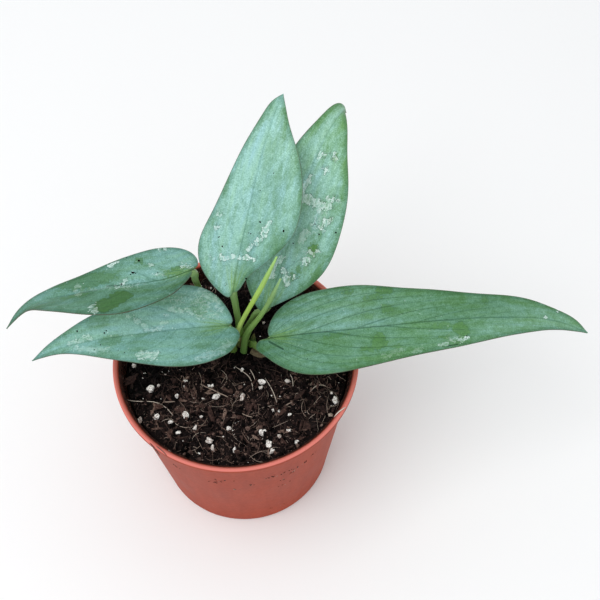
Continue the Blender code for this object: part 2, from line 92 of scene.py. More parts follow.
def add_node(tree, kind, *values, output=0, stops=None, **more):
    """Adds a shader node and returns one of its outputs. Values fill its sockets in order, after the
    operation of a Math node. A word such as from_min is a socket's name, and any other a setting."""
    made = tree.nodes.new("ShaderNode" + kind)
    if kind.endswith("Math"):
        made.operation, *values = values
    if kind == "Mix":
        made.data_type = "RGBA"
    names = {word: word.replace("_", " ").title() for word in more}
    for word in (word for word in more if names[word] not in made.inputs):
        setattr(made, word, more[word])
    for number, (share, colour) in enumerate((stops or {}).items()):
        marks = made.color_ramp.elements
        mark = marks[number] if number < len(marks) else marks.new(share)
        mark.position = share
        mark.color = linear(colour)
    sockets = [socket for socket in made.inputs if socket.enabled]
    filled = [*zip(sockets, values)]
    filled += [(s, more[word]) for word in more for s in sockets if s.name == names[word]]
    for socket, value in filled:
        if isinstance(value, bpy.types.NodeSocket):
            tree.links.new(value, socket)
        else:
            socket.default_value = linear(value) if isinstance(value, str) else value
    outputs = [socket for socket in made.outputs if socket.enabled]
    return made.outputs[output] if isinstance(output, str) else outputs[output]


def new_material(name, settings):
    """A material whose shader has these flat values, and the function that adds nodes to it."""
    material = bpy.data.materials.new(name)
    material.use_nodes = True
    for socket, value in settings.items():
        material.node_tree.nodes["Principled BSDF"].inputs[socket].default_value = value
    return material, functools.partial(add_node, material.node_tree)


def finish(material, links):
    """Links the outputs of nodes to the shader's sockets, and gives the material back."""
    shader = material.node_tree.nodes["Principled BSDF"]
    for socket, output in links.items():
        material.node_tree.links.new(output, shader.inputs[socket])
    return material


def painted_board():
    """Matt white board: a pale floor with the faintest mottle."""
    material, node = new_material("painted_board", {"Roughness": 0.9})
    # The mottle is a third of a metre wide.
    place = node("TexCoord", output="Object")
    mottle = node("TexNoise", place, scale=3.0, detail=2.0)
    colour = node("Mix", mottle, "F8F8F7", "FAFAF9")
    return finish(material, {"Base Color": colour})


bpy.ops.mesh.primitive_circle_add(vertices=128, radius=FLOOR_REACH, fill_type="NGON")
floor = bpy.context.object
floor.name = "floor"
floor.location.z = -0.05 * MM
floor.data.materials.append(painted_board())

sky = bpy.data.worlds.new("white_sky")
sky.use_nodes = True
sky.node_tree.nodes["Background"].inputs["Color"].default_value = linear("FAFCFF")
sky.node_tree.nodes["Background"].inputs["Strength"].default_value = SKY_STRENGTH
bpy.context.scene.world = sky

softbox_light = bpy.data.lights.new("softbox", "AREA")
softbox_light.shape = "SQUARE"
softbox_light.size = SOFTBOX_SIZE
softbox_light.energy = SOFTBOX_POWER
softbox = bpy.data.objects.new("softbox", softbox_light)
bpy.context.scene.collection.objects.link(softbox)
softbox.location = SOFTBOX_PLACE
softbox.rotation_mode = "QUATERNION"
softbox.rotation_quaternion = (-SOFTBOX_PLACE).to_track_quat("-Z", "Y")
bpy.context.scene.view_settings.view_transform = "Standard"

# Pot: a round nursery pot, injection-moulded in terracotta-tinted polypropylene in one shot. Its
# lip is turned out over the neck, a shallow band runs under it, and eight holes drain the floor.
POT_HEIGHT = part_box("pot")[1].z
LIP_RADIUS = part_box("pot")[1].x
LIP_DEPTH = 2.4 * MM
LIP_TOP_WIDTH = 1.2 * MM
NECK_RADIUS = LIP_RADIUS - 2.4 * MM
BAND_HEIGHT = POT_HEIGHT - 9 * MM
UNDER_BAND_RADIUS = NECK_RADIUS - 1.1 * MM
UNDER_BAND_HEIGHT = BAND_HEIGHT - 0.6 * MM
BASE_RADIUS = 45.6 * MM
FOOT_ROUNDING = 2.2 * MM
WALL = 1.3 * MM
POT_FLOOR = 1.6 * MM
INNER_ROUNDING = 1.5 * MM
POT_STEPS = 256
DRAIN_HOLES = 8
DRAIN_RING_RADIUS = 33 * MM
DRAIN_HOLE_RADIUS = 4 * MM
DRAIN_HOLE_TURN = math.radians(23.3)


def arc(centre, radius, start, end, steps=5):
    """Points round a corner of a profile, from one angle to another in degrees."""
    angles = np.radians(np.linspace(start, end, steps))
    return [(centre[0] + radius * math.cos(a), centre[1] + radius * math.sin(a)) for a in angles]


def add_piece(name, mesh, slot, *materials):
    """Puts a mesh in the scene as a piece of the plant or its pot."""
    mesh.name = name
    made = bpy.data.objects.new(name, mesh)
    bpy.context.scene.collection.objects.link(made)
    for material in materials:
        mesh.materials.append(material)
    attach(made, "root")
    return made


def settle(item, crease=35):
    """Applies the object's modifiers and shades it smooth between creases of that many degrees."""
    bpy.context.view_layer.update()
    evaluated = item.evaluated_get(bpy.context.evaluated_depsgraph_get())
    item.data = bpy.data.meshes.new_from_object(evaluated)
    item.modifiers.clear()
    item.data.shade_smooth()
    item.data.set_sharp_from_angle(angle=math.radians(crease))


def turned_mesh(profile, steps):
    """A profile of (radius, height) points turned round Z."""
    mesh = bpy.data.meshes.new("profile")
    edges = [(i, i + 1) for i in range(len(profile) - 1)]
    mesh.from_pydata([(radius, 0, height) for radius, height in profile], edges, [])
    turner = bpy.data.objects.new("turner", mesh)
    bpy.context.scene.collection.objects.link(turner)
    screw = turner.modifiers.new("turn", "SCREW")
    screw.steps = steps
    screw.render_steps = steps
    screw.use_merge_vertices = True
    screw.merge_threshold = 0.01 * MM
    settle(turner)
    turned = turner.data
    bpy.data.objects.remove(turner)
    return turned


def set_values(mesh, name, values):
    """Stores one number for each point of the mesh."""
    mesh.attributes.new(name, "FLOAT", "POINT").data.foreach_set("value", np.asarray(values, np.float32))


def pot_profile():
    """From the middle of the floor up the inside, over the lip and down to the underside."""
    inner_foot = BASE_RADIUS - WALL
    inside = [
        (0, POT_FLOOR),
        *arc((inner_foot - INNER_ROUNDING, POT_FLOOR + INNER_ROUNDING), INNER_ROUNDING, -90, -5),
        (UNDER_BAND_RADIUS - WALL, UNDER_BAND_HEIGHT),
        (NECK_RADIUS - 0.6 * MM - WALL, BAND_HEIGHT - 0.1 * MM),
        (NECK_RADIUS - 0.5 * MM - WALL, BAND_HEIGHT + 0.3 * MM),
        (NECK_RADIUS - WALL, POT_HEIGHT - LIP_DEPTH),
        *arc((LIP_RADIUS - LIP_TOP_WIDTH + 0.3 * MM, POT_HEIGHT - 0.3 * MM), 0.3 * MM, 150, 90, 4),
    ]
    outside = [
        *arc((LIP_RADIUS - 0.6 * MM, POT_HEIGHT - 0.6 * MM), 0.6 * MM, 90, 0),
        *arc((LIP_RADIUS - 0.5 * MM, POT_HEIGHT - LIP_DEPTH), 0.5 * MM, 0, -80),
        (NECK_RADIUS + 0.4 * MM, POT_HEIGHT - LIP_DEPTH - 0.55 * MM),
        (NECK_RADIUS, POT_HEIGHT - LIP_DEPTH - 0.9 * MM),
        (NECK_RADIUS - 0.6 * MM, BAND_HEIGHT + 0.1 * MM),
        (NECK_RADIUS - 0.75 * MM, BAND_HEIGHT - 0.2 * MM),
        (UNDER_BAND_RADIUS, UNDER_BAND_HEIGHT),
        *arc((BASE_RADIUS - 1.5 * MM, FOOT_ROUNDING), FOOT_ROUNDING, 8, -70, 7),
        (BASE_RADIUS - 1.2 * MM, 0),
        (0, 0),
    ]
    return inside + outside


def mark_inside(mesh):
    """Stores a 1 on the pot's inner wall and floor, which are painted near-black, partly as mix stain and
    partly as painted shade, and a 0 elsewhere.
    """
    inside = []
    for vert in mesh.vertices:
        inwards = -(vert.normal.x * vert.co.x + vert.normal.y * vert.co.y)
        inside.append(float(inwards > 0 and vert.co.z < POT_HEIGHT - 0.5 * MM))
    set_values(mesh, "inside", inside)


def in_millimetres(node):
    """The place on the piece in mm, for patterns to go by."""
    return node("VectorMath", "SCALE", node("TexCoord", output="Object"), scale=1000.0)


def moulded_polypropylene():
    """Moulded polypropylene, a satin red-brown: faint streaks rise up the wall where the melt ran,
    the top of the lip is painted paler as a painted highlight, and the inside is painted near-black,
    partly as stain from the wet mix and partly as painted shade."""
    material, node = new_material("moulded_polypropylene", {
        "Roughness": 0.5, "IOR": 1.49, "Specular IOR Level": 0.06})
    # The streaks are 5 mm wide and ten times as long, the bloom is 16 mm wide, grime lies in flecks
    # of 2 mm and less, and the orange peel is 0.6 mm wide.
    in_mm = in_millimetres(node)
    drawn_out = node("VectorMath", "MULTIPLY", in_mm, (1, 1, 0.1))
    streaks = node("TexNoise", drawn_out, scale=0.2, detail=3.0)
    bloom = node("TexNoise", in_mm, scale=0.06, detail=3.0)
    grime = node("TexNoise", in_mm, scale=0.5, detail=6.0, roughness=0.7)
    both = node("Math", "ADD", streaks, bloom)
    both = node("Math", "MULTIPLY_ADD", grime, 2.0, both)
    share = node("MapRange", both, 1.5, 2.5)
    wall = node("Mix", share, "98412F", "AF513C")
    height = node("SeparateXYZ", in_mm, output="Z")
    # Painted highlight: the top of the lip is painted paler, where the light falls on it.
    painted_lip_highlight = node("MapRange", height, 98.9, 99.5)
    body = node("Mix", painted_lip_highlight, wall, "DE7E72")
    dirty = node("MapRange", grime, 0.64, 0.7, to_max=0.5)
    colour = node("Mix", dirty, body, "6B352A")
    # The inner wall is painted near-black: partly stain from the wet mix, partly painted shade in the
    # pot's recess.
    inside = node("Attribute", output="Fac", attribute_name="inside")
    inside = node("Math", "MULTIPLY_ADD", grime, 0.5, inside)
    inside = node("MapRange", inside, 0.65, 0.85)
    smears = node("MapRange", grime, 0.35, 0.65)
    stain_and_painted_shade = node("Mix", smears, "0E0807", "4A2A22")
    colour = node("Mix", inside, colour, stain_and_painted_shade)
    sheen = node("MapRange", bloom, to_min=0.42, to_max=0.6)
    orange_peel = node("TexNoise", in_mm, scale=1.6, detail=2.0)
    bump = node("Bump", height=orange_peel, strength=0.25, distance=0.05 * MM)
    return finish(material, {"Base Color": colour, "Roughness": sheen, "Normal": bump})


pot_mesh = turned_mesh(pot_profile(), POT_STEPS)
pot = add_piece("pot_shell", pot_mesh, "pot_plastic", moulded_polypropylene())
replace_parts(pot, "pot")
for number in range(DRAIN_HOLES):
    angle = math.tau * number / DRAIN_HOLES + DRAIN_HOLE_TURN
    bpy.ops.mesh.primitive_cylinder_add(
        vertices=48, radius=DRAIN_HOLE_RADIUS, depth=6 * POT_FLOOR,
        location=(DRAIN_RING_RADIUS * math.cos(angle), DRAIN_RING_RADIUS * math.sin(angle), 0),
    )
    drill = bpy.context.object
    hole = pot.modifiers.new("drain_hole", "BOOLEAN")
    hole.object = drill
    settle(pot)
    bpy.data.objects.remove(drill)
mark_inside(pot.data)

# Potting mix: moist peat and composted bark, lightened with white perlite, filled to just under
# the pot's band. Its face is loose: crumbs, chips, fine roots and husks lie all over it.
SEED = 7
MIX_TOP = 91 * MM
MIX_RELIEF = 1.3 * MM
MIX_RELIEF_SCALE = 13 * MM
MIX_LUMPS = ((4.3, 0.5), (2.1, 0.35), (0.9, 0.2))
MIX_CELLS = 170
MIX_CLEARANCE = 0.3 * MM
MIX_EDGE_DROP = 2 * MM
CALM_RADIUS = 16 * MM
STEM_PLACE = Vector((1.6, 12.8, 0)) * MM
CRUMBS = 4600
GRIT = 2600
FIBRES = 1500
STRAND_BEND = 0.16
STRAND_TILT = 0.12
LONG_STRAND_LIFT = 1.5 * MM
SPLINE_STEPS = 400
SLIVERS = 420
PERLITE_GRAINS = 150
LARGE_PERLITE_SHOWN = 0.85
GRAIN_LOBES = 6
LOBE_WAVES = 4.5
# Painted shade: the mix is painted black where the leaves shade it, round the crown and at the left of
# the pot.
# Each shaded place is given in mm: across, back, where the painted shade starts to fade, and where it
# ends.
SHADED_PLACES = ((12, 22, 20, 36), (-47, -3, 7, 22))
# Large grains of perlite as they lie: across, back, and the width of each, in mm.
LARGE_PERLITE = (
    (-42, -13, 4.0), (-29, -17, 3.2), (-10, -18, 4.2), (3, -18, 4.4), (12, -10, 3.6),
    (25, -10, 3.2), (-38, -28, 3.4), (-31, -31, 3.2), (-24, -28, 3.8), (-27, -37, 3.0),
    (-12, -41, 4.6), (-3, -35, 3.4), (0, -46, 3.0), (13, -37, 4.2), (16, -43, 3.6),
    (29, -42, 2.8), (48, -21, 4.0), (-51, 0, 3.0), (34, 22, 3.6), (-30, 30, 4.0),
    (21, -39.4, 2.2), (25.3, -36.6, 2.6), (17.9, -25.4, 2.6), (25.8, -27.9, 2.0), (-46, -30.1, 4.2),
    (-16.6, -28.3, 2.2), (-24.8, -8.9, 2.4), (-10.3, -44.8, 3.4), (17.4, -46.8, 3.2),
)
# Single things that stand out, in mm: the longest fine roots and straws as lines on the face, and
# the bark chips as (across, back, length) with a tone from dark to pale.
LONG_ROOTS = (
    ((-1.4, -0.9), (3.6, -4.9), (6.6, -8.3), (8.1, -15.0)),
    ((-54.5, -18.8), (-45.5, -20.0), (-36.7, -21.2), (-29.6, -28.3)),
    ((13.9, -7.9), (17.4, -14.6), (19.8, -21.7)),
    ((35.9, -16.0), (39.8, -12.8), (43.7, -12.9)),
    ((6.5, -3.3), (8.0, -6.0), (9.0, -8.9)),
    ((26.2, -5.9), (27.4, -9.4), (27.6, -13.1)),
)
STRAWS = (
    ((-17.8, -10.9), (-9.9, -15.2), (-1.5, -19.7)),
    ((3.0, -27.1), (5.6, -28.2), (8.3, -29.0)),
    ((23.7, -23.4), (25.2, -22.2), (27.1, -21.5)),
    ((-35.1, -20.2), (-32.3, -20.0), (-29.6, -19.7)),
)
BARK_CHIPS = (
    (44.6, -27.8, 5.0, 0.9), (-31.2, -37.0, 6.5, 0.5), (-5.3, -13.4, 4.6, 0.5), (21.3, -19.6, 3.4, 0.62),
    (-17.9, -22.1, 5.2, 0.4), (29.0, -18.6, 2.6, 0.6), (-27.5, -24.5, 6.0, 0.42), (-52.0, -8.0, 8.0, 0.3),
    (-12.0, -27.0, 7.5, 0.35), (-38.0, -22.0, 7.0, 0.42), (34.0, -33.0, 5.5, 0.36),
    (6.0, -24.0, 6.5, 0.33),
)


def mix_height(x, y):
    """The low relief of the mix's face, which dies out at the stem."""
    place = Vector((x, y, 0)) / MIX_RELIEF_SCALE
    relief = noise.noise(place) + 0.5 * noise.noise(place * 2.3)
    calm = min(math.hypot(x - STEM_PLACE.x, y - STEM_PLACE.y) / CALM_RADIUS, 1)
    return MIX_TOP + MIX_RELIEF * relief * calm


def crumbly_height(x, y):
    """The same relief with lumps about 4 mm, 2 mm and 1 mm across on it."""
    place = Vector((x, y, 0)) / MM
    lumps = sum(height * noise.noise(place / width) for width, height in MIX_LUMPS)
    return mix_height(x, y) + lumps * MM


def pot_inner_radius(height):
    """The radius of the pot's inside at a height under its band."""
    low, high = BASE_RADIUS - WALL, UNDER_BAND_RADIUS - WALL
    foot = POT_FLOOR + INNER_ROUNDING
    return low + (high - low) * (height - foot) / (UNDER_BAND_HEIGHT - foot)


def mesh_of(bm):
    """The mesh that was built, shaded smooth."""
    mesh = bpy.data.meshes.new("built")
    bm.to_mesh(mesh)
    bm.free()
    mesh.shade_smooth()
    return mesh


def in_fixed_order(bm):
    """Sorts the faces by their corners, because extruding and joining can leave them in any order."""
    bm.verts.index_update()
    span = 4 * len(bm.verts)
    corners = {face: [vert.index for vert in face.verts] for face in bm.faces}
    bm.faces.sort(key=lambda face: span * min(corners[face]) + sum(corners[face]))
    return bm


def mix_body_mesh():
    """A fine grid bent to a disc for the crumbly face, carried down the pot's wall to its floor."""
    shoulder = MIX_TOP - MIX_EDGE_DROP
    rim = pot_inner_radius(shoulder) - MIX_CLEARANCE
    reach = rim - 0.4 * MM
    bm = bmesh.new()
    bmesh.ops.create_grid(bm, x_segments=MIX_CELLS, y_segments=MIX_CELLS, size=1)
    for vert in bm.verts:
        u, v = vert.co.x, vert.co.y
        x = reach * u * math.sqrt(1 - v * v / 2)
        y = reach * v * math.sqrt(1 - u * u / 2)
        vert.co = (x, y, crumbly_height(x, y))
    foot = POT_FLOOR + INNER_ROUNDING
    foot_radius = pot_inner_radius(foot) - MIX_CLEARANCE
    loop = [edge for edge in bm.edges if edge.is_boundary]
    side = ((rim, shoulder), (foot_radius, foot), (foot_radius - INNER_ROUNDING, POT_FLOOR))
    for radius, height in side:
        grown = bmesh.ops.extrude_edge_only(bm, edges=loop)["geom"]
        for vert in (item for item in grown if isinstance(item, bmesh.types.BMVert)):
            flat = Vector((vert.co.x, vert.co.y, 0)).normalized() * radius
            vert.co = (flat.x, flat.y, height + MIX_CLEARANCE * (height < foot))
        loop = [item for item in grown if isinstance(item, bmesh.types.BMEdge) and item.is_boundary]
    bmesh.ops.holes_fill(bm, edges=loop)
    bmesh.ops.recalc_face_normals(bm, faces=bm.faces)
    return mesh_of(in_fixed_order(bm))


def turned_at_random(draw, count):
    """Random rotations as an array of matrices."""
    q = draw.normal(size=(count, 4))
    w, x, y, z = (q / np.linalg.norm(q, axis=1, keepdims=True)).T
    rows = ((1 - 2 * (y * y + z * z), 2 * (x * y - z * w), 2 * (x * z + y * w)),
            (2 * (x * y + z * w), 1 - 2 * (x * x + z * z), 2 * (y * z - x * w)),
            (2 * (x * z - y * w), 2 * (y * z + x * w), 1 - 2 * (x * x + y * y)))
    return np.array(rows).transpose(2, 0, 1)


def outside_painted_shade(places, least):
    """How far each place lies out of the painted shade: the least where the mix is painted black, up to
    1.
    """
    shares = []
    for x, y in (place[:2] for place in places):
        dry = 1
        for across, back, start, end in SHADED_PLACES:
            away = math.hypot(x / MM - across, y / MM - back)
            dry = min(dry, max((away - start) / (end - start), 0))
        shares.append(least + (1 - least) * dry)
    return np.array(shares)


def lumps_mesh(draw, places, sizes, tones, fineness, roughness, flatness, turns=None,
               breadth=(0.7, 1), knobs=0.0):
    """Many irregular grains as one mesh: balls of facets, each pushed about, squashed and turned.
    Their length is their size, and breadth and flatness are shares of it. Knobs swell a grain in
    broad lobes."""
    bm = bmesh.new()
    bmesh.ops.create_icosphere(bm, subdivisions=fineness, radius=0.5)
    ball = np.array([vert.co[:] for vert in bm.verts])
    facets = np.array([[vert.index for vert in face.verts] for face in bm.faces])
    bm.free()
    count = len(places)
    turns = turned_at_random(draw, count) if turns is None else turns
    spread = np.stack([np.ones(count), draw.uniform(*breadth, count), draw.uniform(*flatness, count)], 1)
    waves = draw.normal(0, LOBE_WAVES, (count, GRAIN_LOBES, 3))
    lobes = waves @ ball.T + draw.uniform(0, math.tau, (count, GRAIN_LOBES, 1))
    swell = 1 + knobs * np.sin(lobes).mean(axis=1)[:, :, None]
    pushed = ball[None] * swell * (1 + roughness * draw.normal(size=(count, len(ball), 1)))
    grains = np.einsum("cij,cnj->cni", turns, pushed * spread[:, None] * np.asarray(sizes)[:, None, None])
    points = (grains + np.asarray(places)[:, None]).reshape(-1, 3)
    faces = (facets[None] + len(ball) * np.arange(count)[:, None, None]).reshape(-1, 3)
    mesh = bpy.data.meshes.new("grains")
    mesh.from_pydata(points, [], faces.tolist())
    set_values(mesh, "tone", np.repeat(tones, len(ball)))
    return mesh


def smooth_path(points, count):
    """count points at even steps along a natural cubic spline through the given ones."""
    given = np.asarray(points, float)
    knots = np.concatenate([[0], np.cumsum(np.linalg.norm(np.diff(given, axis=0), axis=1))])
    gaps = np.diff(knots)
    size = len(given)
    matrix = np.eye(size)
    right = np.zeros_like(given)
    for i in range(1, size - 1):
        matrix[i, i - 1:i + 2] = gaps[i - 1], 2 * (gaps[i - 1] + gaps[i]), gaps[i]
        before = (given[i] - given[i - 1]) / gaps[i - 1]
        after = (given[i + 1] - given[i]) / gaps[i]
        right[i] = 6 * (after - before)
    bend = np.linalg.solve(matrix, right)
    fine = np.linspace(0, knots[-1], SPLINE_STEPS)
    span = np.clip(np.searchsorted(knots, fine, side="right") - 1, 0, size - 2)
    gap = gaps[span][:, None]
    a = (knots[span + 1] - fine)[:, None] / gap
    b = 1 - a
    curve = a * given[span] + b * given[span + 1]
    curve += ((a ** 3 - a) * bend[span] + (b ** 3 - b) * bend[span + 1]) * gap ** 2 / 6
    run = np.concatenate([[0], np.cumsum(np.linalg.norm(np.diff(curve, axis=0), axis=1))])
    even = np.linspace(0, run[-1], count)
    return np.stack([np.interp(even, run, curve[:, k]) for k in range(curve.shape[1])], 1)


def unit(vectors):
    """The vectors, each made one long."""
    return vectors / np.linalg.norm(vectors, axis=-1, keepdims=True)


def strands_mesh(paths, widths, tones, sides=4):
    """Fine strands as one mesh, each a tube along its path that thins towards both ends."""
    points, faces, marks = [], [], []
    around = np.linspace(0, math.tau, sides, endpoint=False)
    for path, width, tone in zip(paths, widths, tones):
        heading = unit(np.gradient(path, axis=0))
        aside = unit(np.cross(heading, (0.1, 0.2, 1)))
        over = np.cross(aside, heading)
        share = np.linspace(-1, 1, len(path))
        radius = (width / 2 * (1 - 0.75 * share ** 4))[:, None, None]
        ring = aside[:, None] * np.cos(around)[:, None] + over[:, None] * np.sin(around)[:, None]
        first = len(points)
        points.extend((path[:, None] + radius * ring).reshape(-1, 3))
        marks.extend([tone] * (len(path) * sides))
        for row in range(len(path) - 1):
            for side in range(sides):
                a = first + row * sides + side
                b = first + row * sides + (side + 1) % sides
                faces.append((a, b, b + sides, a + sides))
        faces.append(tuple(range(first + sides - 1, first - 1, -1)))
        faces.append(tuple(range(len(points) - sides, len(points))))
    mesh = bpy.data.meshes.new("strands")
    mesh.from_pydata(np.array(points), [], faces)
    set_values(mesh, "tone", marks)
    mesh.shade_smooth()
    return mesh


def moist_peat():
    """Moist peat: near-black brown that goes from dull to faintly wet over each crumb."""
    material, node = new_material("moist_peat", {"Roughness": 0.8, "Specular IOR Level": 0.06})
    tone = node("Attribute", output="Fac", attribute_name="tone")
    # The grain is 1 mm and finer, as large as the smallest crumbs.
    in_mm = in_millimetres(node)
    grain = node("TexNoise", in_mm, scale=0.9, detail=5.0, roughness=0.7)
    both = node("Math", "MULTIPLY", tone, grain)
    colour = node("ValToRGB", both, stops={
        0.0: "040303", 0.12: "0D0A0A", 0.28: "201817", 0.45: "3E2E2A", 0.65: "6A544C", 0.9: "A48E82"})
    wet = node("MapRange", grain, 0.35, 0.65, 0.5, 0.95)
    bump = node("Bump", height=grain, strength=0.6, distance=0.3 * MM)
    return finish(material, {"Base Color": colour, "Roughness": wet, "Normal": bump})


def dry_root():
    """Fine dead roots and husks: dull tan, from dark brown to straw."""
    material, node = new_material("dry_root", {"Roughness": 0.75, "Specular IOR Level": 0.25})
    tone = node("Attribute", output="Fac", attribute_name="tone")
    colour = node("ValToRGB", tone, stops={
        0.0: "1C1413", 0.3: "4C3933", 0.55: "7F685C", 0.8: "B3A192", 1.0: "DDD2C4"})
    return finish(material, {"Base Color": colour})


def pine_bark():
    """Composted pine bark: reddish brown slivers and flakes, torn and fibrous."""
    material, node = new_material("pine_bark", {"Roughness": 0.8, "Specular IOR Level": 0.2})
    tone = node("Attribute", output="Fac", attribute_name="tone")
    # Bark fibres are 0.1 mm wide in life, too fine to show, so the grain is drawn at 0.7 mm.
    in_mm = in_millimetres(node)
    grain = node("TexNoise", in_mm, scale=1.4, detail=4.0, roughness=0.65)
    shade = node("MapRange", grain, 0.3, 0.7, -0.2, 0.2)
    both = node("Math", "ADD", tone, shade)
    colour = node("ValToRGB", both, stops={
        0.0: "100A09", 0.3: "2E1E1A", 0.5: "4E3730", 0.75: "806A5E", 1.0: "C0B0A0"})
    bump = node("Bump", height=grain, strength=0.7, distance=0.3 * MM)
    return finish(material, {"Base Color": colour, "Normal": bump})


def expanded_perlite():
    """Expanded perlite: chalky white glass froth, a little soiled, pitted by burst bubbles, with painted
    shade darkening its pits.
    """
    material, node = new_material("expanded_perlite", {"Roughness": 0.85})
    tone = node("Attribute", output="Fac", attribute_name="tone")
    # The pits are 0.5 mm wide, and the soiling comes and goes over about a millimetre.
    in_mm = in_millimetres(node)
    pits = node("TexVoronoi", in_mm, scale=1.9, feature="F1")
    soiling = node("TexNoise", in_mm, scale=0.8, detail=4.0)
    soiled = node("Math", "MULTIPLY", soiling, tone)
    soil_and_pit_shade = node("MapRange", soiled, 0.26, 0.56)
    # Painted shade in the pits, added on top of the soiling.
    painted_pit_shade = node("MapRange", pits, 0.5, 0.75, to_max=0.7)
    soil_and_pit_shade = node("Math", "MAXIMUM", soil_and_pit_shade, painted_pit_shade)
    colour = node("Mix", soil_and_pit_shade, "FFFCF6", "94786A")
    bump = node("Bump", height=pits, strength=0.6, distance=0.4 * MM)
    return finish(material, {"Base Color": colour, "Normal": bump})


def scattered(draw, count, reach):
    """Random places over the disc, as x and y."""
    angle = draw.uniform(0, math.tau, count)
    radius = reach * np.sqrt(draw.uniform(0, 1, count))
    return np.stack([radius * np.cos(angle), radius * np.sin(angle)], 1)


def on_mix(flat, lift):
    """Places on the crumbly face, each raised by its lift."""
    heights = [crumbly_height(x, y) for x, y in flat]
    return np.column_stack([flat, np.array(heights) + lift])


draw = np.random.default_rng(SEED)
peat = moist_peat()
perlite = expanded_perlite()
dead_root = dry_root()
bark = pine_bark()
mix_reach = pot_inner_radius(MIX_TOP) - 0.8 * MM


def lay(name, material, mesh):
    """Adds one layer of the mix's face, which is part of the mix."""
    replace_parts(add_piece(name, mesh, "potting_mix", material), "potting_mix")


mix_mesh = mix_body_mesh()
# Painted shade: the mix and the crumbs, grit, slivers and fibres on it are darker in the shaded places.
set_values(mix_mesh, "tone", [0.12 + 0.3 * dry for dry in outside_painted_shade((v.co for v in mix_mesh.vertices), 0)])
lay("mix_body", peat, mix_mesh)

sizes = MM * (0.7 + 2.6 * draw.uniform(0, 1, CRUMBS) ** 2.6)
places = on_mix(scattered(draw, CRUMBS, mix_reach - 1 * MM), 0.3 * sizes)
tones = draw.uniform(0.1, 1.15, CRUMBS) ** 1.9 * outside_painted_shade(places, 0.2)
lay("mix_crumbs", peat, lumps_mesh(draw, places, sizes, tones, fineness=1, roughness=0.28,
                                   flatness=(0.35, 0.8), breadth=(0.4, 1)))

sizes = MM * draw.uniform(0.25, 0.75, GRIT)
places = on_mix(scattered(draw, GRIT, mix_reach), draw.uniform(0.1, 1.3, GRIT) * MM)
tones = draw.uniform(0.2, 1.7, GRIT) * outside_painted_shade(places, 0.2)
lay("mix_grit", peat, lumps_mesh(draw, places, sizes, tones, fineness=1, roughness=0.2,
                                 flatness=(0.5, 0.9)))

large = np.array(LARGE_PERLITE) * MM
small_sizes = MM * (0.45 + 1.7 * draw.uniform(0, 1, PERLITE_GRAINS) ** 3)
flat = np.vstack([large[:, :2], scattered(draw, PERLITE_GRAINS, mix_reach - 1 * MM)])
sizes = np.concatenate([LARGE_PERLITE_SHOWN * large[:, 2], small_sizes])
places = on_mix(flat, 0.3 * sizes + 0.3 * MM)
tones = draw.uniform(0.2, 0.95, len(sizes))
lay("mix_perlite", perlite, lumps_mesh(draw, places, sizes, tones, fineness=3, roughness=0.06,
                                       flatness=(0.5, 0.85), breadth=(0.5, 0.95), knobs=0.8))


def flat_turns(draw, count, tilt):
    """Rotations about Z at random, tipped a little, for flakes that lie down."""
    spins = draw.uniform(0, math.tau, count)
    tips = draw.uniform(-tilt, tilt, (count, 2))
    made = []
    for spin, (tip_x, tip_y) in zip(spins, tips):
        turn = Matrix.Rotation(spin, 3, "Z") @ Matrix.Rotation(tip_x, 3, "X")
        turn = turn @ Matrix.Rotation(tip_y, 3, "Y")
        made.append(np.array(turn))
    return np.array(made)


chips = np.array(BARK_CHIPS)
sizes = chips[:, 2] * MM
places = on_mix(chips[:, :2] * MM, 0.1 * sizes)
turns = flat_turns(draw, len(sizes), 0.4)
lay("mix_bark", bark, lumps_mesh(draw, places, sizes, chips[:, 3], fineness=3, roughness=0.05,
                                 flatness=(0.2, 0.35), breadth=(0.35, 0.6), turns=turns, knobs=0.7))

flat = scattered(draw, SLIVERS, mix_reach - 2 * MM)
sizes = MM * (1.6 + 5.5 * draw.uniform(0, 1, SLIVERS) ** 2)
tones = draw.uniform(0.1, 0.72, SLIVERS) * outside_painted_shade(flat, 0.25)
places = on_mix(flat, 0.08 * sizes + 0.3 * MM)
turns = flat_turns(draw, SLIVERS, 0.5)
lay("mix_slivers", bark, lumps_mesh(draw, places, sizes, tones, fineness=2, roughness=0.06,
                                    flatness=(0.08, 0.2), breadth=(0.14, 0.35), turns=turns,
                                    knobs=0.5))


def lying_strand(draw, middle, length):
    """A bent strand that lies across the crumbs, its ends a little raised."""
    heading = draw.uniform(0, math.tau)
    bend = draw.normal(0, STRAND_BEND) * length
    steps = np.linspace(-0.5, 0.5, 7)
    along = np.array((math.cos(heading), math.sin(heading)))
    aside = np.array((-along[1], along[0]))
    flat = middle + np.outer(steps * length, along) + np.outer(4 * bend * (0.25 - steps ** 2), aside)
    too_far = np.linalg.norm(flat, axis=1, keepdims=True) / mix_reach
    flat = flat / np.maximum(too_far, 1)
    heights = [mix_height(x, y) for x, y in flat]
    lift = draw.uniform(0.6, 1.5) * MM + draw.normal(0, 1.0) * steps * length * STRAND_TILT
    return np.column_stack([flat, np.array(heights) + lift])


lengths = MM * (1.5 + 12 * draw.uniform(0, 1, FIBRES) ** 2.5)
middles = scattered(draw, FIBRES, mix_reach - 2 * MM)
paths = [lying_strand(draw, middle, length) for middle, length in zip(middles, lengths)]
widths = list(MM * draw.uniform(0.1, 0.28, FIBRES))
tones = list(draw.uniform(0.05, 0.9, FIBRES) ** 1.4 * outside_painted_shade(middles, 0.15))
for group, width, tone in ((LONG_ROOTS, 0.42, 0.9), (STRAWS, 0.6, 0.7)):
    for path in group:
        flat = smooth_path(np.array(path) * MM, 14)
        paths.append(np.column_stack([flat, [mix_height(x, y) + LONG_STRAND_LIFT for x, y in flat]]))
        widths.append(width * MM)
        tones.append(tone)
lay("mix_fibres", dead_root, strands_mesh(paths, widths, tones))

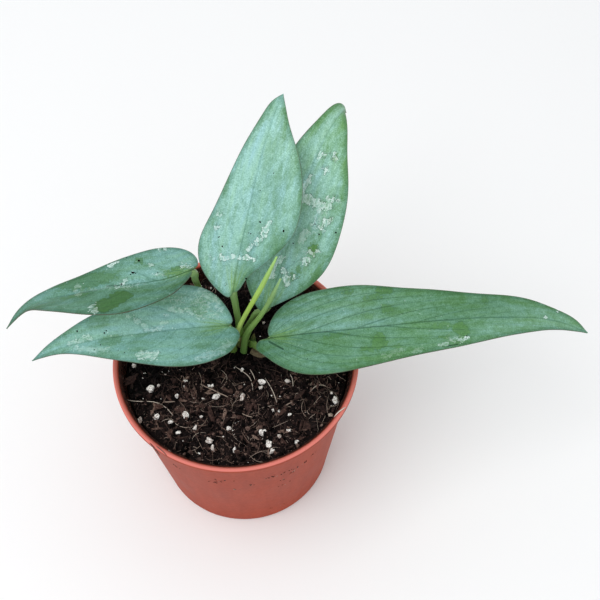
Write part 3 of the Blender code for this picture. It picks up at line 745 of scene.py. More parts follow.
# Soil on the pot: dried splashes of the mix below the lip, crumbs stuck on the inner wall above the
# mix, and a few husks caught on the rim. Each splash is given by its turn round the pot in degrees
# and its height in mm.
SPLASHES = (
    (-103.5, 70.8), (-99.6, 73.1), (-95.2, 76.4), (-75.2, 73.5), (-70.5, 72.2), (-65.0, 72.1),
    (-61.8, 66.1), (-57.8, 69.8), (-52.7, 69.3), (-82.6, 67.9), (-91.4, 60.6), (-66.9, 61.1),
    (-64.2, 52.1), (-71.0, 16.2), (-64.0, 13.8), (-124.7, 73.7), (-47.0, 72.0), (30.0, 66.0),
    (95.0, 70.0), (150.0, 62.0), (200.0, 74.0),
)
SPLASH_CRUMBS = 7
SPLASH_SPREAD = 1.6 * MM
WALL_CRUMBS = 900
WALL_CRUMB_REACH = 6.8 * MM
# Each husk on the rim: its line, its width and its tone, from dark to pale.
RIM_HUSKS = (
    (((46.8, -33.0, 98.6), (49.2, -31.0, 100.3), (52.6, -28.7, 100.7)), 0.7, 0.95),
    (((-38.9, -45.4, 100.4), (-36.8, -47.9, 100.5), (-33.9, -51.6, 99.6)), 0.5, 0.3),
    (((-36.0, -46.9, 100.3), (-33.0, -49.5, 100.5), (-30.5, -52.0, 99.9)), 0.4, 0.4),
    (((-31.3, -48.0, 98.2), (-29.4, -48.9, 97.9), (-27.5, -49.6, 97.4)), 0.7, 0.9),
)


def pot_outer_radius(height):
    """The radius of the pot's outside at a height under its band."""
    share = (height - 3 * MM) / (BAND_HEIGHT - 3.6 * MM)
    return BASE_RADIUS + 0.6 * MM + share * (NECK_RADIUS - 1.7 * MM - BASE_RADIUS)


def facing_out(angle):
    """The turn that lays a crumb flat on the wall, at an angle round the pot."""
    return np.array(Matrix.Rotation(angle, 3, "Z") @ Matrix.Rotation(math.pi / 2, 3, "Y"))


places, turns, sizes = [], [], []
for turn, height in SPLASHES:
    for _ in range(SPLASH_CRUMBS):
        z = height * MM + draw.normal(0, SPLASH_SPREAD * 0.35)
        radius = pot_outer_radius(z)
        angle = math.radians(turn) + draw.normal(0, SPLASH_SPREAD) / radius
        places.append((radius * math.cos(angle), radius * math.sin(angle), z))
        turns.append(facing_out(angle))
        sizes.append(draw.uniform(0.3, 1.25) * MM)
tones = draw.uniform(0.3, 1.3, len(places)) ** 3
splashes = lumps_mesh(draw, places, sizes, tones, fineness=1, roughness=0.15, flatness=(0.25, 0.4),
                      turns=np.array(turns))
add_piece("soil_on_pot", splashes, "potting_mix", peat)

angles = draw.uniform(0, math.tau, WALL_CRUMBS)
heights = MIX_TOP + WALL_CRUMB_REACH * draw.uniform(0, 1, WALL_CRUMBS) ** 1.6
wall_inside = (NECK_RADIUS - WALL - 0.6 * MM, NECK_RADIUS - WALL)
radii = np.interp(heights, (BAND_HEIGHT, POT_HEIGHT - LIP_DEPTH), wall_inside) - 0.1 * MM
places = np.stack([radii * np.cos(angles), radii * np.sin(angles), heights], 1)
turns = np.array([facing_out(angle) for angle in angles])
sizes = MM * draw.uniform(0.3, 1.5, WALL_CRUMBS)
tones = draw.uniform(0.1, 1.1, WALL_CRUMBS) ** 1.9
stuck = lumps_mesh(draw, places, sizes, tones, fineness=1, roughness=0.25, flatness=(0.3, 0.6),
                   turns=turns)
add_piece("soil_on_wall", stuck, "potting_mix", peat)

lines, widths, tones = zip(*RIM_HUSKS)
paths = [smooth_path(np.array(line) * MM, 10) for line in lines]
husks = strands_mesh(paths, np.array(widths) * MM, tones)
add_piece("husks_on_rim", husks, "potting_mix", dead_root)

# Leaves: five blades of a silver-leaved climber, each grown as one with its petiole and its
# midrib. The blade is thick and leathery; pockets of air under its skin give the silver.
BLADE_THICKNESS = 0.8 * MM
MARGIN_THICKNESS = 0.45
BLADE_ROWS = 260
BLADE_CELLS = 72
PETIOLE_RADII = (2.1 * MM, 1.5 * MM, 1.55 * MM)
JOINT_RADII = (1.85 * MM, 1.6 * MM)
PETIOLE_SIDES = 24
JOINT_LENGTH = 4 * MM
PETIOLE_STEPS = 50
CHANNEL_DEPTH = 0.24
CHANNEL_WIDTH = 0.55
MIDRIB_RADII = (1.25 * MM, 0.3 * MM)
MIDRIB_SPAN = (0.09, 0.93)
MIDRIB_STEPS = 60
MIDRIB_GROOVE = 0.3 * MM
MIDRIB_GROOVE_WIDTH = 0.6 * MM
VEINS_PER_LENGTH = 6
VEIN_RELIEF = 0.3 * MM
PUCKER = 0.16 * MM
PUCKER_SCALE = 7 * MM
# In mm: how far in the blade thins towards its edge, where the edge is greener, how wide the two
# halves blend at the midrib, a depth outside any patch, and how far apart the leaves' patterns lie.
MARGIN_THINNING = 2.5
MARGIN_GREEN = (0.5, 5.5)
HALVES_MEET = 4
FAR_OUTSIDE = -9.0
PATTERN_STEP = 40.0
# Each leaf as it grew, in mm. Its petiole runs up from the crown, and its midrib on to the tip. Its
# outline is given on each side as (along, across). Face is the way that its upper side looks at the
# base and at the tip, its halves rise by fold degrees, and its edge waves up and down by wave.
# Silver is its share, and tone how light the leaf is painted, at even steps from base to tip as (left,
# right); tone holds the leaf's own depth of green and also painted shade, darker on the leaves and
# halves that lie in shade. Veins are their strength, slant and sweep, rib is how dark the midrib is at
# the base and at the tip, and margin how green each side's edge is. Bare patches, where the silver is
# thin or missing, and lace, where dried water left a net of lines, are (along, across, half length,
# half width), and a patch ends with how bare it is. Films of dried water are lines with a half width
# and a strength, and dark lines, painted shadow along curled edges and lifted films, have a half
# width. Dust is the share of chalk dots. Drops are (along, across, length, width), and specks of soil
# (along, across, radius).
LEAVES = {
    "leaf_upright": dict(
        midrib=((0.7, 12.2, 138), (4, 20.5, 153), (8.5, 31.5, 168), (13.5, 45, 183), (19, 59, 195),
                (25.8, 74.3, 203)),
        left=((-2.5, -1.5), (-1, -5), (6, -12), (15, -17.5), (24, -18.8), (34, -16.7), (51, -12.6),
              (68, -8.8), (83, -5.2), (91, -3)),
        right=((1, 1.5), (7, 4.5), (17, 11), (26, 17), (35, 21.5), (47, 22.5), (59, 20.5), (71, 15.5),
               (82, 8.2), (91, 2.6)),
        face=((0, -0.75, 0.66), (0, -0.6, 0.8)), fold=10, wave=0.4,
        petiole=((1.6, 12.8, 100.35), (1.8, 12.6, 110), (1.4, 12.6, 121), (0.9, 13.4, 131)),
        silver=((0.85, 0.95), (0.9, 0.75), (0.85, 0.65)), tone=((0.8, 0.65), (0.95, 0.85), (0.95, 1.0)),
        veins=(0.12, 0.2, 0.34), rib=(0.34, 0.06), margin=(0.25, 0.3), dust=0.25,
        bare=((29.5, 15.5, 6.5, 3.4, 0.2), (13, 5, 8, 3, 0.15), (66, 3, 9, 3, 0.15)),
        lace=(),
        dried=((((17, -7.5), (17.4, -5.5), (18, -3)), 0.8, 1.0),
               (((18, -3), (18.3, 0), (19.3, 3.5), (20.5, 6.5)), 0.5, 1.0),
               (((24, 4), (27, 6), (30, 8), (34, 9), (38, 10)), 0.7, 0.9),
               (((30.6, -13), (31, -11)), 0.45, 0.8), (((37, -13.2), (37, -11.5)), 0.4, 0.6),
               (((16, -11), (18, -14)), 0.3, 0.4)),
        dark=(),
        drops=((4.3, -4.0, 1.5, 1.2),),
        specks=((37.3, 6, 0.5), (36.3, 17, 0.6), (31, 3, 0.3), (31, 2, 0.25), (26.5, -10.5, 0.45),
                (22.5, -8.2, 0.4), (60, 7, 0.3), (51, 3, 0.25), (9, 5, 0.5)),
    ),
    "leaf_back": dict(
        midrib=((15.8, 15.4, 118), (22.5, 25.5, 137), (28, 33.5, 153), (35, 47, 172), (41, 57, 184),
                (46.8, 67, 188.5), (52, 77, 187.5), (54.6, 86, 178)),
        left=((-1, -1), (4.5, -8.5), (13.5, -14), (26, -18), (42, -18.5), (62, -15.5), (82, -10.6),
              (93, -7.4), (108, -4.5)),
        right=((5.5, 5), (17, 14.5), (28, 19.2), (46, 21.3), (60, 20.6), (74, 17.5), (88, 11.7),
               (100, 6), (110, 1.2)),
        face=((0.1, -0.75, 0.66), (0.15, -0.55, 0.83)), fold=12, wave=0.5,
        petiole=((4.3, 17.9, 92.2), (4.8, 17.7, 95.5), (5.9, 17.3, 100.5), (8, 16.9, 106.5),
                 (10.8, 17, 112.5)),
        silver=((0.6, 0.8), (0.6, 0.6), (0.4, 0.35)), tone=((0.8, 0.7), (0.9, 1.0), (1.25, 1.2)),
        veins=(0.14, 0.2, 0.34), rib=(0.3, 0.1), margin=(0.3, 0.4), dust=0.5,
        bare=((38, 11.5, 2.9, 2.4, 0.85), (21, 6.2, 2.6, 1.2, 0.6), (25, 8.2, 3, 1.2, 0.5),
              (24, 17, 7, 2.4, 0.4), (83, 7.8, 1.8, 1.2, 0.6), (54.5, 14.6, 1.6, 1, 0.5)),
        lace=((52, 10, 8, 4), (34, 9, 6, 3)),
        dried=((((17, 5), (20, 4), (23, 2)), 1.2, 1.0), (((20, 4.5), (21.5, 7)), 0.7, 0.9),
               (((18, -3), (24, -4), (29, -1)), 1.1, 0.9), (((30, 10), (32, 9), (33, 11)), 0.7, 1.0),
               (((41, 5), (45, 6)), 1.5, 0.5), (((49, 12), (52, 13), (54, 15.5)), 0.9, 1.0),
               (((58, 9), (60, 10), (60.5, 13)), 1.7, 0.85), (((61, 0), (60, 3), (60, 6)), 1.8, 0.95),
               (((62, 1), (66, -0.6), (70, 0.5)), 0.8, 0.9),
               (((63.5, 11), (65.2, 13), (64.6, 16)), 0.5, 0.8), (((75, 6), (77, 6)), 0.7, 0.9),
               (((80.5, 1.5), (82.3, 2.8)), 0.6, 0.9), (((82, 8.4), (84, 6.6)), 0.6, 0.9),
               (((36.2, 10), (36.4, 12.6), (38.5, 13.6)), 0.5, 0.9), (((50, 8), (52, 8.6)), 0.5, 0.6),
               (((48.6, 11.8), (49.4, 13)), 0.5, 0.6)),
        dark=((((60, -0.8), (62.5, 1.2), (64.5, -0.4)), 0.35),
              (((63, 10.4), (64.4, 13), (63.8, 16.4)), 0.3)),
        drops=((54.3, 14.8, 2.4, 1.5), (50.3, 8.2, 1.6, 1.1), (49.3, 12.7, 1.4, 1.0),
               (31.7, 10.6, 1.6, 1.3), (83, 7.4, 1.7, 1.2), (81.5, 2.2, 1.4, 1.0),
               (64.4, 14.4, 1.6, 1.0)),
        specks=((49, 19, 0.5), (46, 12, 0.45), (38, 2, 0.4), (50, 9, 0.3), (29, 5, 0.25)),
    ),
    "leaf_upper_left": dict(
        midrib=((-17.2, 17.2, 150), (-27.8, 10.9, 152.5), (-48, 6.4, 154), (-71, 6, 148),
                (-94.5, 9.5, 133), (-108.3, 6.8, 118)),
        left=((2, -2.5), (8, -7), (13.5, -11), (21, -14.5), (33, -18), (46.5, -15.5), (57.5, -11.3),
              (72, -7.2), (87, -2.2)),
        right=((-3.5, 1), (-5, 3.2), (-4.6, 8), (-1.2, 12), (5.5, 15.2), (14, 16.3), (30, 13.8),
               (46, 10.2), (63.5, 7.2), (84, 3.7), (97, 2.2)),
        face=((0, 0.1, 1), (0, 0, 1)), fold=14, wave=0.4,
        petiole=((-3.4, 15.4, 92.2), (-4.2, 16, 95.5), (-9.5, 20.5, 108), (-15.5, 24.2, 120),
                 (-17.1, 23.2, 130), (-16.9, 19.8, 141)),
        silver=((0.65, 0.95), (0.45, 0.6), (0.6, 0.6)), tone=((0.5, 0.75), (0.5, 0.55), (0.45, 0.55)),
        veins=(0.2, 0.2, 0.34), rib=(0.55, -0.1), margin=(0.15, 0.15), dust=0.6,
        bare=((33.5, -7.5, 5, 4, 0.85), (39, -11.5, 5.2, 4.8, 0.9), (50, 5, 16, 3.6, 0.45),
              (55, -1.5, 8, 1.5, 0.4), (70, -4.5, 9, 1.8, 0.3), (7, 2.4, 6, 2, 0.6),
              (24, 11, 2.3, 1.7, 0.5)),
        lace=((15, 3, 4, 2), (30, -1, 8, 3)),
        dried=((((35.6, 11.6), (37.8, 10.4)), 0.5, 1.0), (((6, 14.6), (9, 15.4)), 0.5, 0.7),
               (((0, 2), (3, 4)), 0.9, 0.6), (((14.5, 2.5), (16, 3.4)), 0.4, 0.5),
               (((34, 0.4), (44, 0.2), (54, 0.4)), 0.3, 0.15),
               (((53, -1.5), (55, 1), (55, 4)), 1.0, 0.25), (((42.8, -15), (44.4, -11)), 1.1, 0.55),
               (((31, 2.4), (33, 0.8), (35, -1)), 0.6, 0.7), (((19, 8), (18, 8.5)), 0.4, 0.8)),
        dark=((((33, 0.2), (36, 0.6), (40, 0.9)), 0.35),),
        drops=(),
        specks=((24.2, 11, 0.6), (27.6, 5.5, 0.75), (28.8, 4.8, 0.4), (26.5, 5.1, 0.3),
                (33.2, 0.6, 0.4), (30, 13, 0.25), (16, 4, 0.25)),
    ),
    "leaf_lower_left": dict(
        midrib=((-2, 3, 124), (-12, 0, 128), (-26, -3, 131), (-52, -5, 129), (-79, -5, 120),
                (-96, -7, 111)),
        left=((-3.5, -2), (-4.5, -4.5), (-2.5, -8.5), (2, -13), (8.5, -16.3), (16, -18.3), (25, -18.5),
              (44.5, -14.1), (67, -7.4), (87, -1.9)),
        right=((-2.3, 2), (-2.2, 4), (0, 9), (3.5, 13.7), (8.5, 17.5), (18.5, 20.4), (32, 19.3),
               (50, 15.5), (66, 11.3), (78, 7.2), (92, 3)),
        face=((0, -0.25, 1), (0, -0.25, 1)), fold=10, wave=0.5,
        petiole=((-2, 8.6, 92), (-1.9, 7.9, 97), (-1.8, 5.9, 106.5), (-1.6, 3.9, 118)),
        silver=((0.85, 1.0), (0.9, 1.0), (0.8, 0.9)), tone=((0.55, 0.7), (0.65, 0.8), (0.75, 0.65)),
        veins=(0.16, 0.2, 0.34), rib=(0.3, 0.1), margin=(0.15, 0.1), dust=0.8,
        bare=((13.5, 9.5, 4.2, 4.6, 0.22), (43, -6, 6, 2.8, 0.15), (56, -1.5, 6, 2.8, 0.3),
              (62, 8, 6, 3.4, 0.2), (15, -10, 5, 1.3, 0.25), (10, -6, 6, 1.2, 0.15),
              (30, 14, 9, 2.6, 0.15)),
        lace=((10, 13, 10, 6), (24, 14, 8, 4), (8, 6, 6, 4)),
        dried=((((36, -11.6), (39, -11.6), (42, -10.6)), 1.7, 0.65),
               (((3, 8), (6, 13), (12, 17.5)), 1.2, 0.35),
               (((13, 4), (19, 8), (27, 9.5), (31, 3), (34, 1), (38, 1), (43, 7), (47, 9)), 0.6, 0.4),
               (((2, -9), (8, -13), (18, -15.5)), 1.2, 0.25),
               (((57, -6), (66, -4.5), (74, -2.5)), 0.9, 0.3), (((66, 1.5), (78, 1)), 0.7, 0.45)),
        dark=(),
        drops=(),
        specks=((72.5, 5.5, 0.6), (59, 2.5, 0.5), (58, 3.4, 0.4), (64, -5, 0.35), (61, -3, 0.35),
                (52, -7, 0.3), (49, -8.6, 0.35), (12, 2, 0.2)),
    ),
    "leaf_right": dict(
        midrib=((17, 3, 112), (36, 1, 119), (68, 0, 126), (100, 3, 126), (135, 10, 116), (160, 14, 104),
                (175, 13, 95)),
        left=((-1, -2.5), (0, -7), (3.5, -12), (9.5, -16), (17.5, -19), (38, -21), (66, -17.6),
              (100, -12.4), (133, -9.1), (150, -5.6), (161, -3.4)),
        right=((-6.5, 2), (-7, 4), (-3.5, 8), (3, 13), (11, 17.8), (31.5, 21.8), (51, 18.9), (82, 14.9),
               (119.5, 9.2), (150, 4.2)),
        face=((0, -0.2, 1), (0, -0.2, 1)), fold=8, wave=0.6,
        petiole=((7.2, 11.2, 92.3), (7.4, 10.9, 94), (9.5, 7, 97.5), (12.5, 3, 101.5), (15.8, 1, 107)),
        silver=((0.6, 0.4), (0.3, 0.15), (0.2, 0.3), (0.3, 0.35)),
        tone=((0.6, 0.55), (0.7, 0.75), (0.7, 0.85), (1.0, 0.95)),
        veins=(0.38, 0.5, 0.3), rib=(0.5, 0.2), margin=(0.15, 0.15), dust=0.35,
        bare=((52.5, -14, 4.5, 1.5, 0.6), (58, -16.5, 4.2, 2.2, 0.75), (49, -5.5, 3.2, 1.8, 0.35),
              (58, -8, 3.6, 2, 0.6), (40, -17.6, 2.6, 1.3, 0.6), (34, 2.5, 6.5, 1.2, 0.5),
              (53, 8, 3.2, 4.6, 0.75), (48, 11, 4, 1.4, 0.6), (60, 11, 3, 1.1, 0.5),
              (83, 3, 5.5, 1.6, 0.5), (91.5, 5.5, 3.6, 4, 0.75), (82, 9, 3.4, 1.3, 0.6),
              (107, -8.6, 1.8, 2.4, 0.4)),
        lace=((88, 10, 8, 2.5),),
        dried=((((54, 15.6), (58, 14), (62, 14)), 1.0, 0.15), (((68, 14.6), (71, 13.6)), 0.6, 0.2),
               (((80, 13), (84, 11.8), (92, 11.4)), 0.4, 0.5), (((91, 12), (94, 9.8)), 0.2, 0.9),
               (((148, -5.2), (148.4, -5.8)), 0.35, 1.0), (((140, -0.6), (140.5, -0.8)), 0.3, 0.9),
               (((94, 10), (94.5, 10.6)), 0.3, 1.0)),
        dark=((((0, 2), (3.5, 4.2), (7.5, 6.8)), 0.42), (((83, 13.4), (88, 12.8)), 0.4)),
        drops=(),
        specks=((93, 9, 0.3), (47, -8.5, 0.25), (20, 13, 0.25)),
    ),
}


class Blade:
    """A leaf blade as a surface, over the distance along its midrib and the distance across."""

    FOLD_ROUNDING = 2 * MM
    WAVE_LENGTH = 38 * MM
    FULL_WAVE_SIDE = 18 * MM
    LINE_STEPS = 200
    EDGE_STEPS = 300

    def __init__(self, leaf):
        self.line = smooth_path(np.array(leaf["midrib"]) * MM, self.LINE_STEPS)
        steps = np.linalg.norm(np.diff(self.line, axis=0), axis=1)
        self.run = np.concatenate([[0], np.cumsum(steps)])
        self.length = self.run[-1]
        self.heading = np.gradient(self.line, self.run, axis=0)
        self.face = np.array(leaf["face"], float)
        self.slope = math.tan(math.radians(leaf["fold"]))
        self.wave = leaf["wave"] * MM
        tip = (self.length / MM, 0)
        self.edges = [
            smooth_path(((0, 0), *leaf[side], tip), self.EDGE_STEPS) * MM for side in ("left", "right")
        ]

    def frame(self, along):
        """For each distance: the midrib's place, its heading, the way across and the way up."""
        along = np.atleast_1d(along)
        held = np.clip(along, 0, self.length)
        place = np.stack([np.interp(held, self.run, self.line[:, k]) for k in range(3)], 1)
        heading = unit(np.stack([np.interp(held, self.run, self.heading[:, k]) for k in range(3)], 1))
        share = (held / self.length)[:, None]
        across = unit(np.cross(heading, self.face[0] * (1 - share) + self.face[1] * share))
        up = np.cross(across, heading)
        return place + heading * (along - held)[:, None], heading, across, up

    def point(self, along, side, lift=0.0):
        """Places on the blade, raised by lift from its middle surface."""
        place, _, across, up = self.frame(along)
        side = np.atleast_1d(side)
        rise = self.slope * (np.hypot(side, self.FOLD_ROUNDING) - self.FOLD_ROUNDING)
        share = np.minimum(np.abs(side) / self.FULL_WAVE_SIDE, 1) ** 2
        turn = math.tau * np.atleast_1d(along) / self.WAVE_LENGTH + np.where(side < 0, 0, 2)
        rise = rise + self.wave * share * np.sin(turn) + lift
        return place + across * side[:, None] + up * rise[:, None]

    def under(self, along, radius):
        """Places for the midrib's centre, its top sunk in the blade and its round below."""
        place, _, _, up = self.frame(along)
        return place - up * (0.05 * MM + np.atleast_1d(radius))[:, None]


def distance_to_line(points, line):
    """How far each point lies from a line through corners, in the same flat units."""
    nearest = np.full(len(points), 1e9)
    for start, end in zip(line[:-1], line[1:]):
        step = end - start
        share = np.clip((points - start) @ step / max(step @ step, 1e-12), 0, 1)
        nearest = np.minimum(nearest, np.linalg.norm(points - start - share[:, None] * step, axis=1))
    return nearest


def vein_phase(blade, along, out, veins):
    """Counts the side veins: they leave the midrib at a slant and sweep along the margin."""
    _, slant, sweep = veins
    share = np.abs(out)
    start = along - blade.length * (slant * share + sweep * share ** 3)
    return start / blade.length * VEINS_PER_LENGTH + np.where(out < 0, 0.5, 0.0)


def inside_patches(flat, patches):
    """How deep each point lies in the nearest of the oval patches, in mm, negative outside them, and
    the patch's own strength."""
    depth = np.full(len(flat), FAR_OUTSIDE)
    strength = np.zeros(len(flat))
    for a, b, half_length, half_width, *own in patches:
        reach = np.hypot((flat[:, 0] - a) / half_length, (flat[:, 1] - b) / half_width)
        inwards = (1 - reach) * min(half_length, half_width)
        strength = np.where(inwards > depth, own[0] if own else 1.0, strength)
        depth = np.maximum(depth, inwards)
    return depth, strength


def between_ends(share, over, rows):
    """A value for each point from rows of (left, right) at even steps from the base to the tip."""
    steps = np.linspace(0, 1, len(rows))
    left, right = (np.interp(share, steps, column) for column in zip(*rows))
    return left * (1 - over) + right * over


def blade_numbers(leaf, blade, number, along, across, share, out):
    """The numbers that the leaf's colours go by, for each point of the blade."""
    flat = np.stack([along, across], 1) / MM
    rim = np.minimum(*(distance_to_line(flat, edge[::4] / MM) for edge in blade.edges))
    dried = np.full(len(flat), FAR_OUTSIDE)
    film = np.zeros(len(flat))
    for line, width, weight in leaf["dried"]:
        depth = width - distance_to_line(flat, np.array(line, float))
        film = np.where(depth > dried, weight, film)
        dried = np.maximum(dried, depth)
    dark = np.full(len(flat), FAR_OUTSIDE)
    for line, width in leaf["dark"]:
        dark = np.maximum(dark, width - distance_to_line(flat, np.array(line, float)))
    over = np.clip(flat[:, 1] / HALVES_MEET + 0.5, 0, 1)
    near_rim = np.clip((MARGIN_GREEN[1] - rim) / (MARGIN_GREEN[1] - MARGIN_GREEN[0]), 0, 1)
    bare, bareness = inside_patches(flat, leaf["bare"])
    return {
        "along": flat[:, 0], "across": flat[:, 1], "vein": vein_phase(blade, along, out, leaf["veins"]),
        "rim": rim, "bare": bare, "bareness": bareness, "dried": dried, "film": film, "dark": dark,
        "lace": inside_patches(flat, leaf["lace"])[0],
        "silver": between_ends(share, over, leaf["silver"]),
        "tone": between_ends(share, over, leaf["tone"]),
        "margin": near_rim ** 2 * (3 - 2 * near_rim) * np.where(out < 0, *leaf["margin"]),
        "veining": leaf["veins"][0] * np.interp(share, (0.4, 0.8), (1, 0.3)),
        "rib": np.interp(share, (0, 1), leaf["rib"]),
        "dust": np.full(len(flat), leaf["dust"]),
        "leaf": np.full(len(flat), PATTERN_STEP * number),
    }


def blade_mesh(leaf, blade, number):
    """A fine grid on the blade, with its creases, and the numbers that its colours go by."""
    bm = bmesh.new()
    bmesh.ops.create_grid(bm, x_segments=BLADE_ROWS, y_segments=BLADE_CELLS, size=0.5)
    mesh = bpy.data.meshes.new("blade")
    bm.to_mesh(mesh)
    grid = np.array([vert.co[:2] for vert in mesh.vertices])
    even = np.clip(grid[:, 0] + 0.5, 0, 1)
    share = (even + (1 - np.cos(math.pi * even)) / 2) / 2
    out = -2 * grid[:, 1]
    row = share * (len(blade.edges[0]) - 1)
    sides = [
        np.stack([np.interp(row, range(len(edge)), edge[:, k]) for k in range(2)], 1)
        for edge in blade.edges
    ]
    edge = np.where(out[:, None] < 0, *sides)
    mix = np.abs(out)
    along = (1 - mix) * share * blade.length + mix * edge[:, 0]
    across = mix * edge[:, 1]
    values = blade_numbers(leaf, blade, number, along, across, share, out)
    for label, numbers in values.items():
        set_values(mesh, label, numbers)

    puckers = [noise.noise(Vector((a, b, 0.1 * number)) / PUCKER_SCALE) for a, b in zip(along, across)]
    calm = np.minimum(1, 12 * mix * (1 - mix)) * np.minimum(1, 8 * share * (1 - share))
    vein_rise = leaf["veins"][0] * VEIN_RELIEF * np.cos(math.tau * values["vein"])
    lift = PUCKER * np.array(puckers) * calm - vein_rise * calm
    groove = MIDRIB_GROOVE * np.exp(-(across / MIDRIB_GROOVE_WIDTH) ** 2)
    lift = lift - groove * np.minimum(1, 10 * (1 - share))
    mesh.vertices.foreach_set("co", blade.point(along, across, lift).astype(np.float32).ravel())
    bm.clear()
    bm.from_mesh(mesh)
    bmesh.ops.remove_doubles(bm, verts=bm.verts, dist=0.001 * MM)
    return mesh_of(bm)


def vein_lines(node, read, clouds):
    """Side veins: dark lines that come and go, with four faint ones between each two."""
    main = node("Math", "PINGPONG", read["vein"], 0.5)
    main = node("MapRange", main, 0.01, 0.085, 1.0, 0.0, interpolation_type="SMOOTHSTEP")
    wander = node("Math", "MULTIPLY_ADD", clouds, 1.0, read["vein"])
    wander = node("Math", "MULTIPLY", wander, 5.0)
    fine = node("Math", "PINGPONG", wander, 0.5)
    fine = node("MapRange", fine, 0.0, 0.3, 0.12, 0.0, interpolation_type="SMOOTHSTEP")
    veins = node("Math", "MAXIMUM", main, fine)
    fade = node("MapRange", clouds, 0.35, 0.55, 0.55)
    for factor in (fade, read["veining"]):
        veins = node("Math", "MULTIPLY", veins, factor)
    return veins


def young_green(node, read, aside):
    """Yellow-green where the blade meets the petiole, running out in rays and along the midrib."""
    spread = node("Math", "ADD", read["along"], 4.0)
    ray = node("Math", "DIVIDE", read["across"], spread)
    ray_lines = node("Math", "PINGPONG", ray, 0.07)
    ray_lines = node("MapRange", ray_lines, 0.0, 0.05, 0.95, 0.25)
    turn = node("Math", "ABSOLUTE", ray)
    close = node("MapRange", turn, 0.1, 0.5, 1.0, 0.0, interpolation_type="SMOOTHSTEP")
    tint = node("Math", "MULTIPLY", close, ray_lines)
    beside_rib = node("MapRange", aside, 0.5, 1.6, 0.75, 0.0, interpolation_type="SMOOTHSTEP")
    tint = node("Math", "MAXIMUM", tint, beside_rib)
    at_base = node("MapRange", read["along"], 4.0, 20.0, 1.0, 0.0, interpolation_type="SMOOTHSTEP")
    return node("Math", "MULTIPLY", tint, at_base)


def dried_water(node, read, place, longer, clouds, ragged):
    """Dried water: a hazy film, chalky in torn flecks 1 mm wide and along parts of its outline, with
    a painted shadow line beside it; a net of fine lines with meshes of 1.7 mm; and stray dots 2.5 mm
    apart. The two results are how chalky the skin is, and where the painted shadow runs."""
    film = node("Math", "MULTIPLY_ADD", ragged, 7.0, read["dried"])
    inner = node("MapRange", film, 0.0, 0.5)
    flakes = node("TexNoise", longer, scale=1.0, detail=3.0, roughness=0.6, distortion=0.6)
    flecks = node("MapRange", flakes, 0.46, 0.53, 0.16, 0.66)
    inner = node("Math", "MULTIPLY", inner, flecks)
    broken = node("MapRange", flakes, 0.42, 0.5)
    off = node("Math", "ABSOLUTE", film)
    outline = node("MapRange", off, 0.12, 0.32, 1.0, 0.0)
    outline = node("Math", "MULTIPLY", outline, broken)
    chalk = node("Math", "MAXIMUM", inner, outline)
    chalk = node("Math", "MULTIPLY", chalk, read["film"])
    net = node("TexVoronoi", place, scale=0.6, feature="DISTANCE_TO_EDGE")
    net = node("MapRange", net, 0.0, 0.16, 0.35, 0.0)
    net = node("Math", "MULTIPLY", net, broken)
    lace = node("Math", "MULTIPLY_ADD", ragged, 9.0, read["lace"])
    lace = node("MapRange", lace, 0.0, 2.5)
    lace = node("Math", "MULTIPLY", lace, net)
    chalk = node("Math", "MAXIMUM", chalk, lace)
    dots = node("TexVoronoi", place, scale=0.4, output="Distance")
    dots = node("MapRange", dots, 0.06, 0.13, 1.0, 0.0)
    sparse = node("MapRange", clouds, 0.47, 0.6)
    for factor in (sparse, read["dust"]):
        dots = node("Math", "MULTIPLY", dots, factor)
    chalk = node("Math", "MAXIMUM", chalk, dots, use_clamp=True)
    # Painted shadow: a dark line just outside each film's edge.
    painted_film_shadow = node("MapRange", film, -1.1, -0.45, to_max=0.65)
    past = node("MapRange", film, -0.4, -0.15, 1.0, 0.0)
    for factor in (past, broken, read["film"]):
        painted_film_shadow = node("Math", "MULTIPLY", painted_film_shadow, factor)
    return chalk, painted_film_shadow


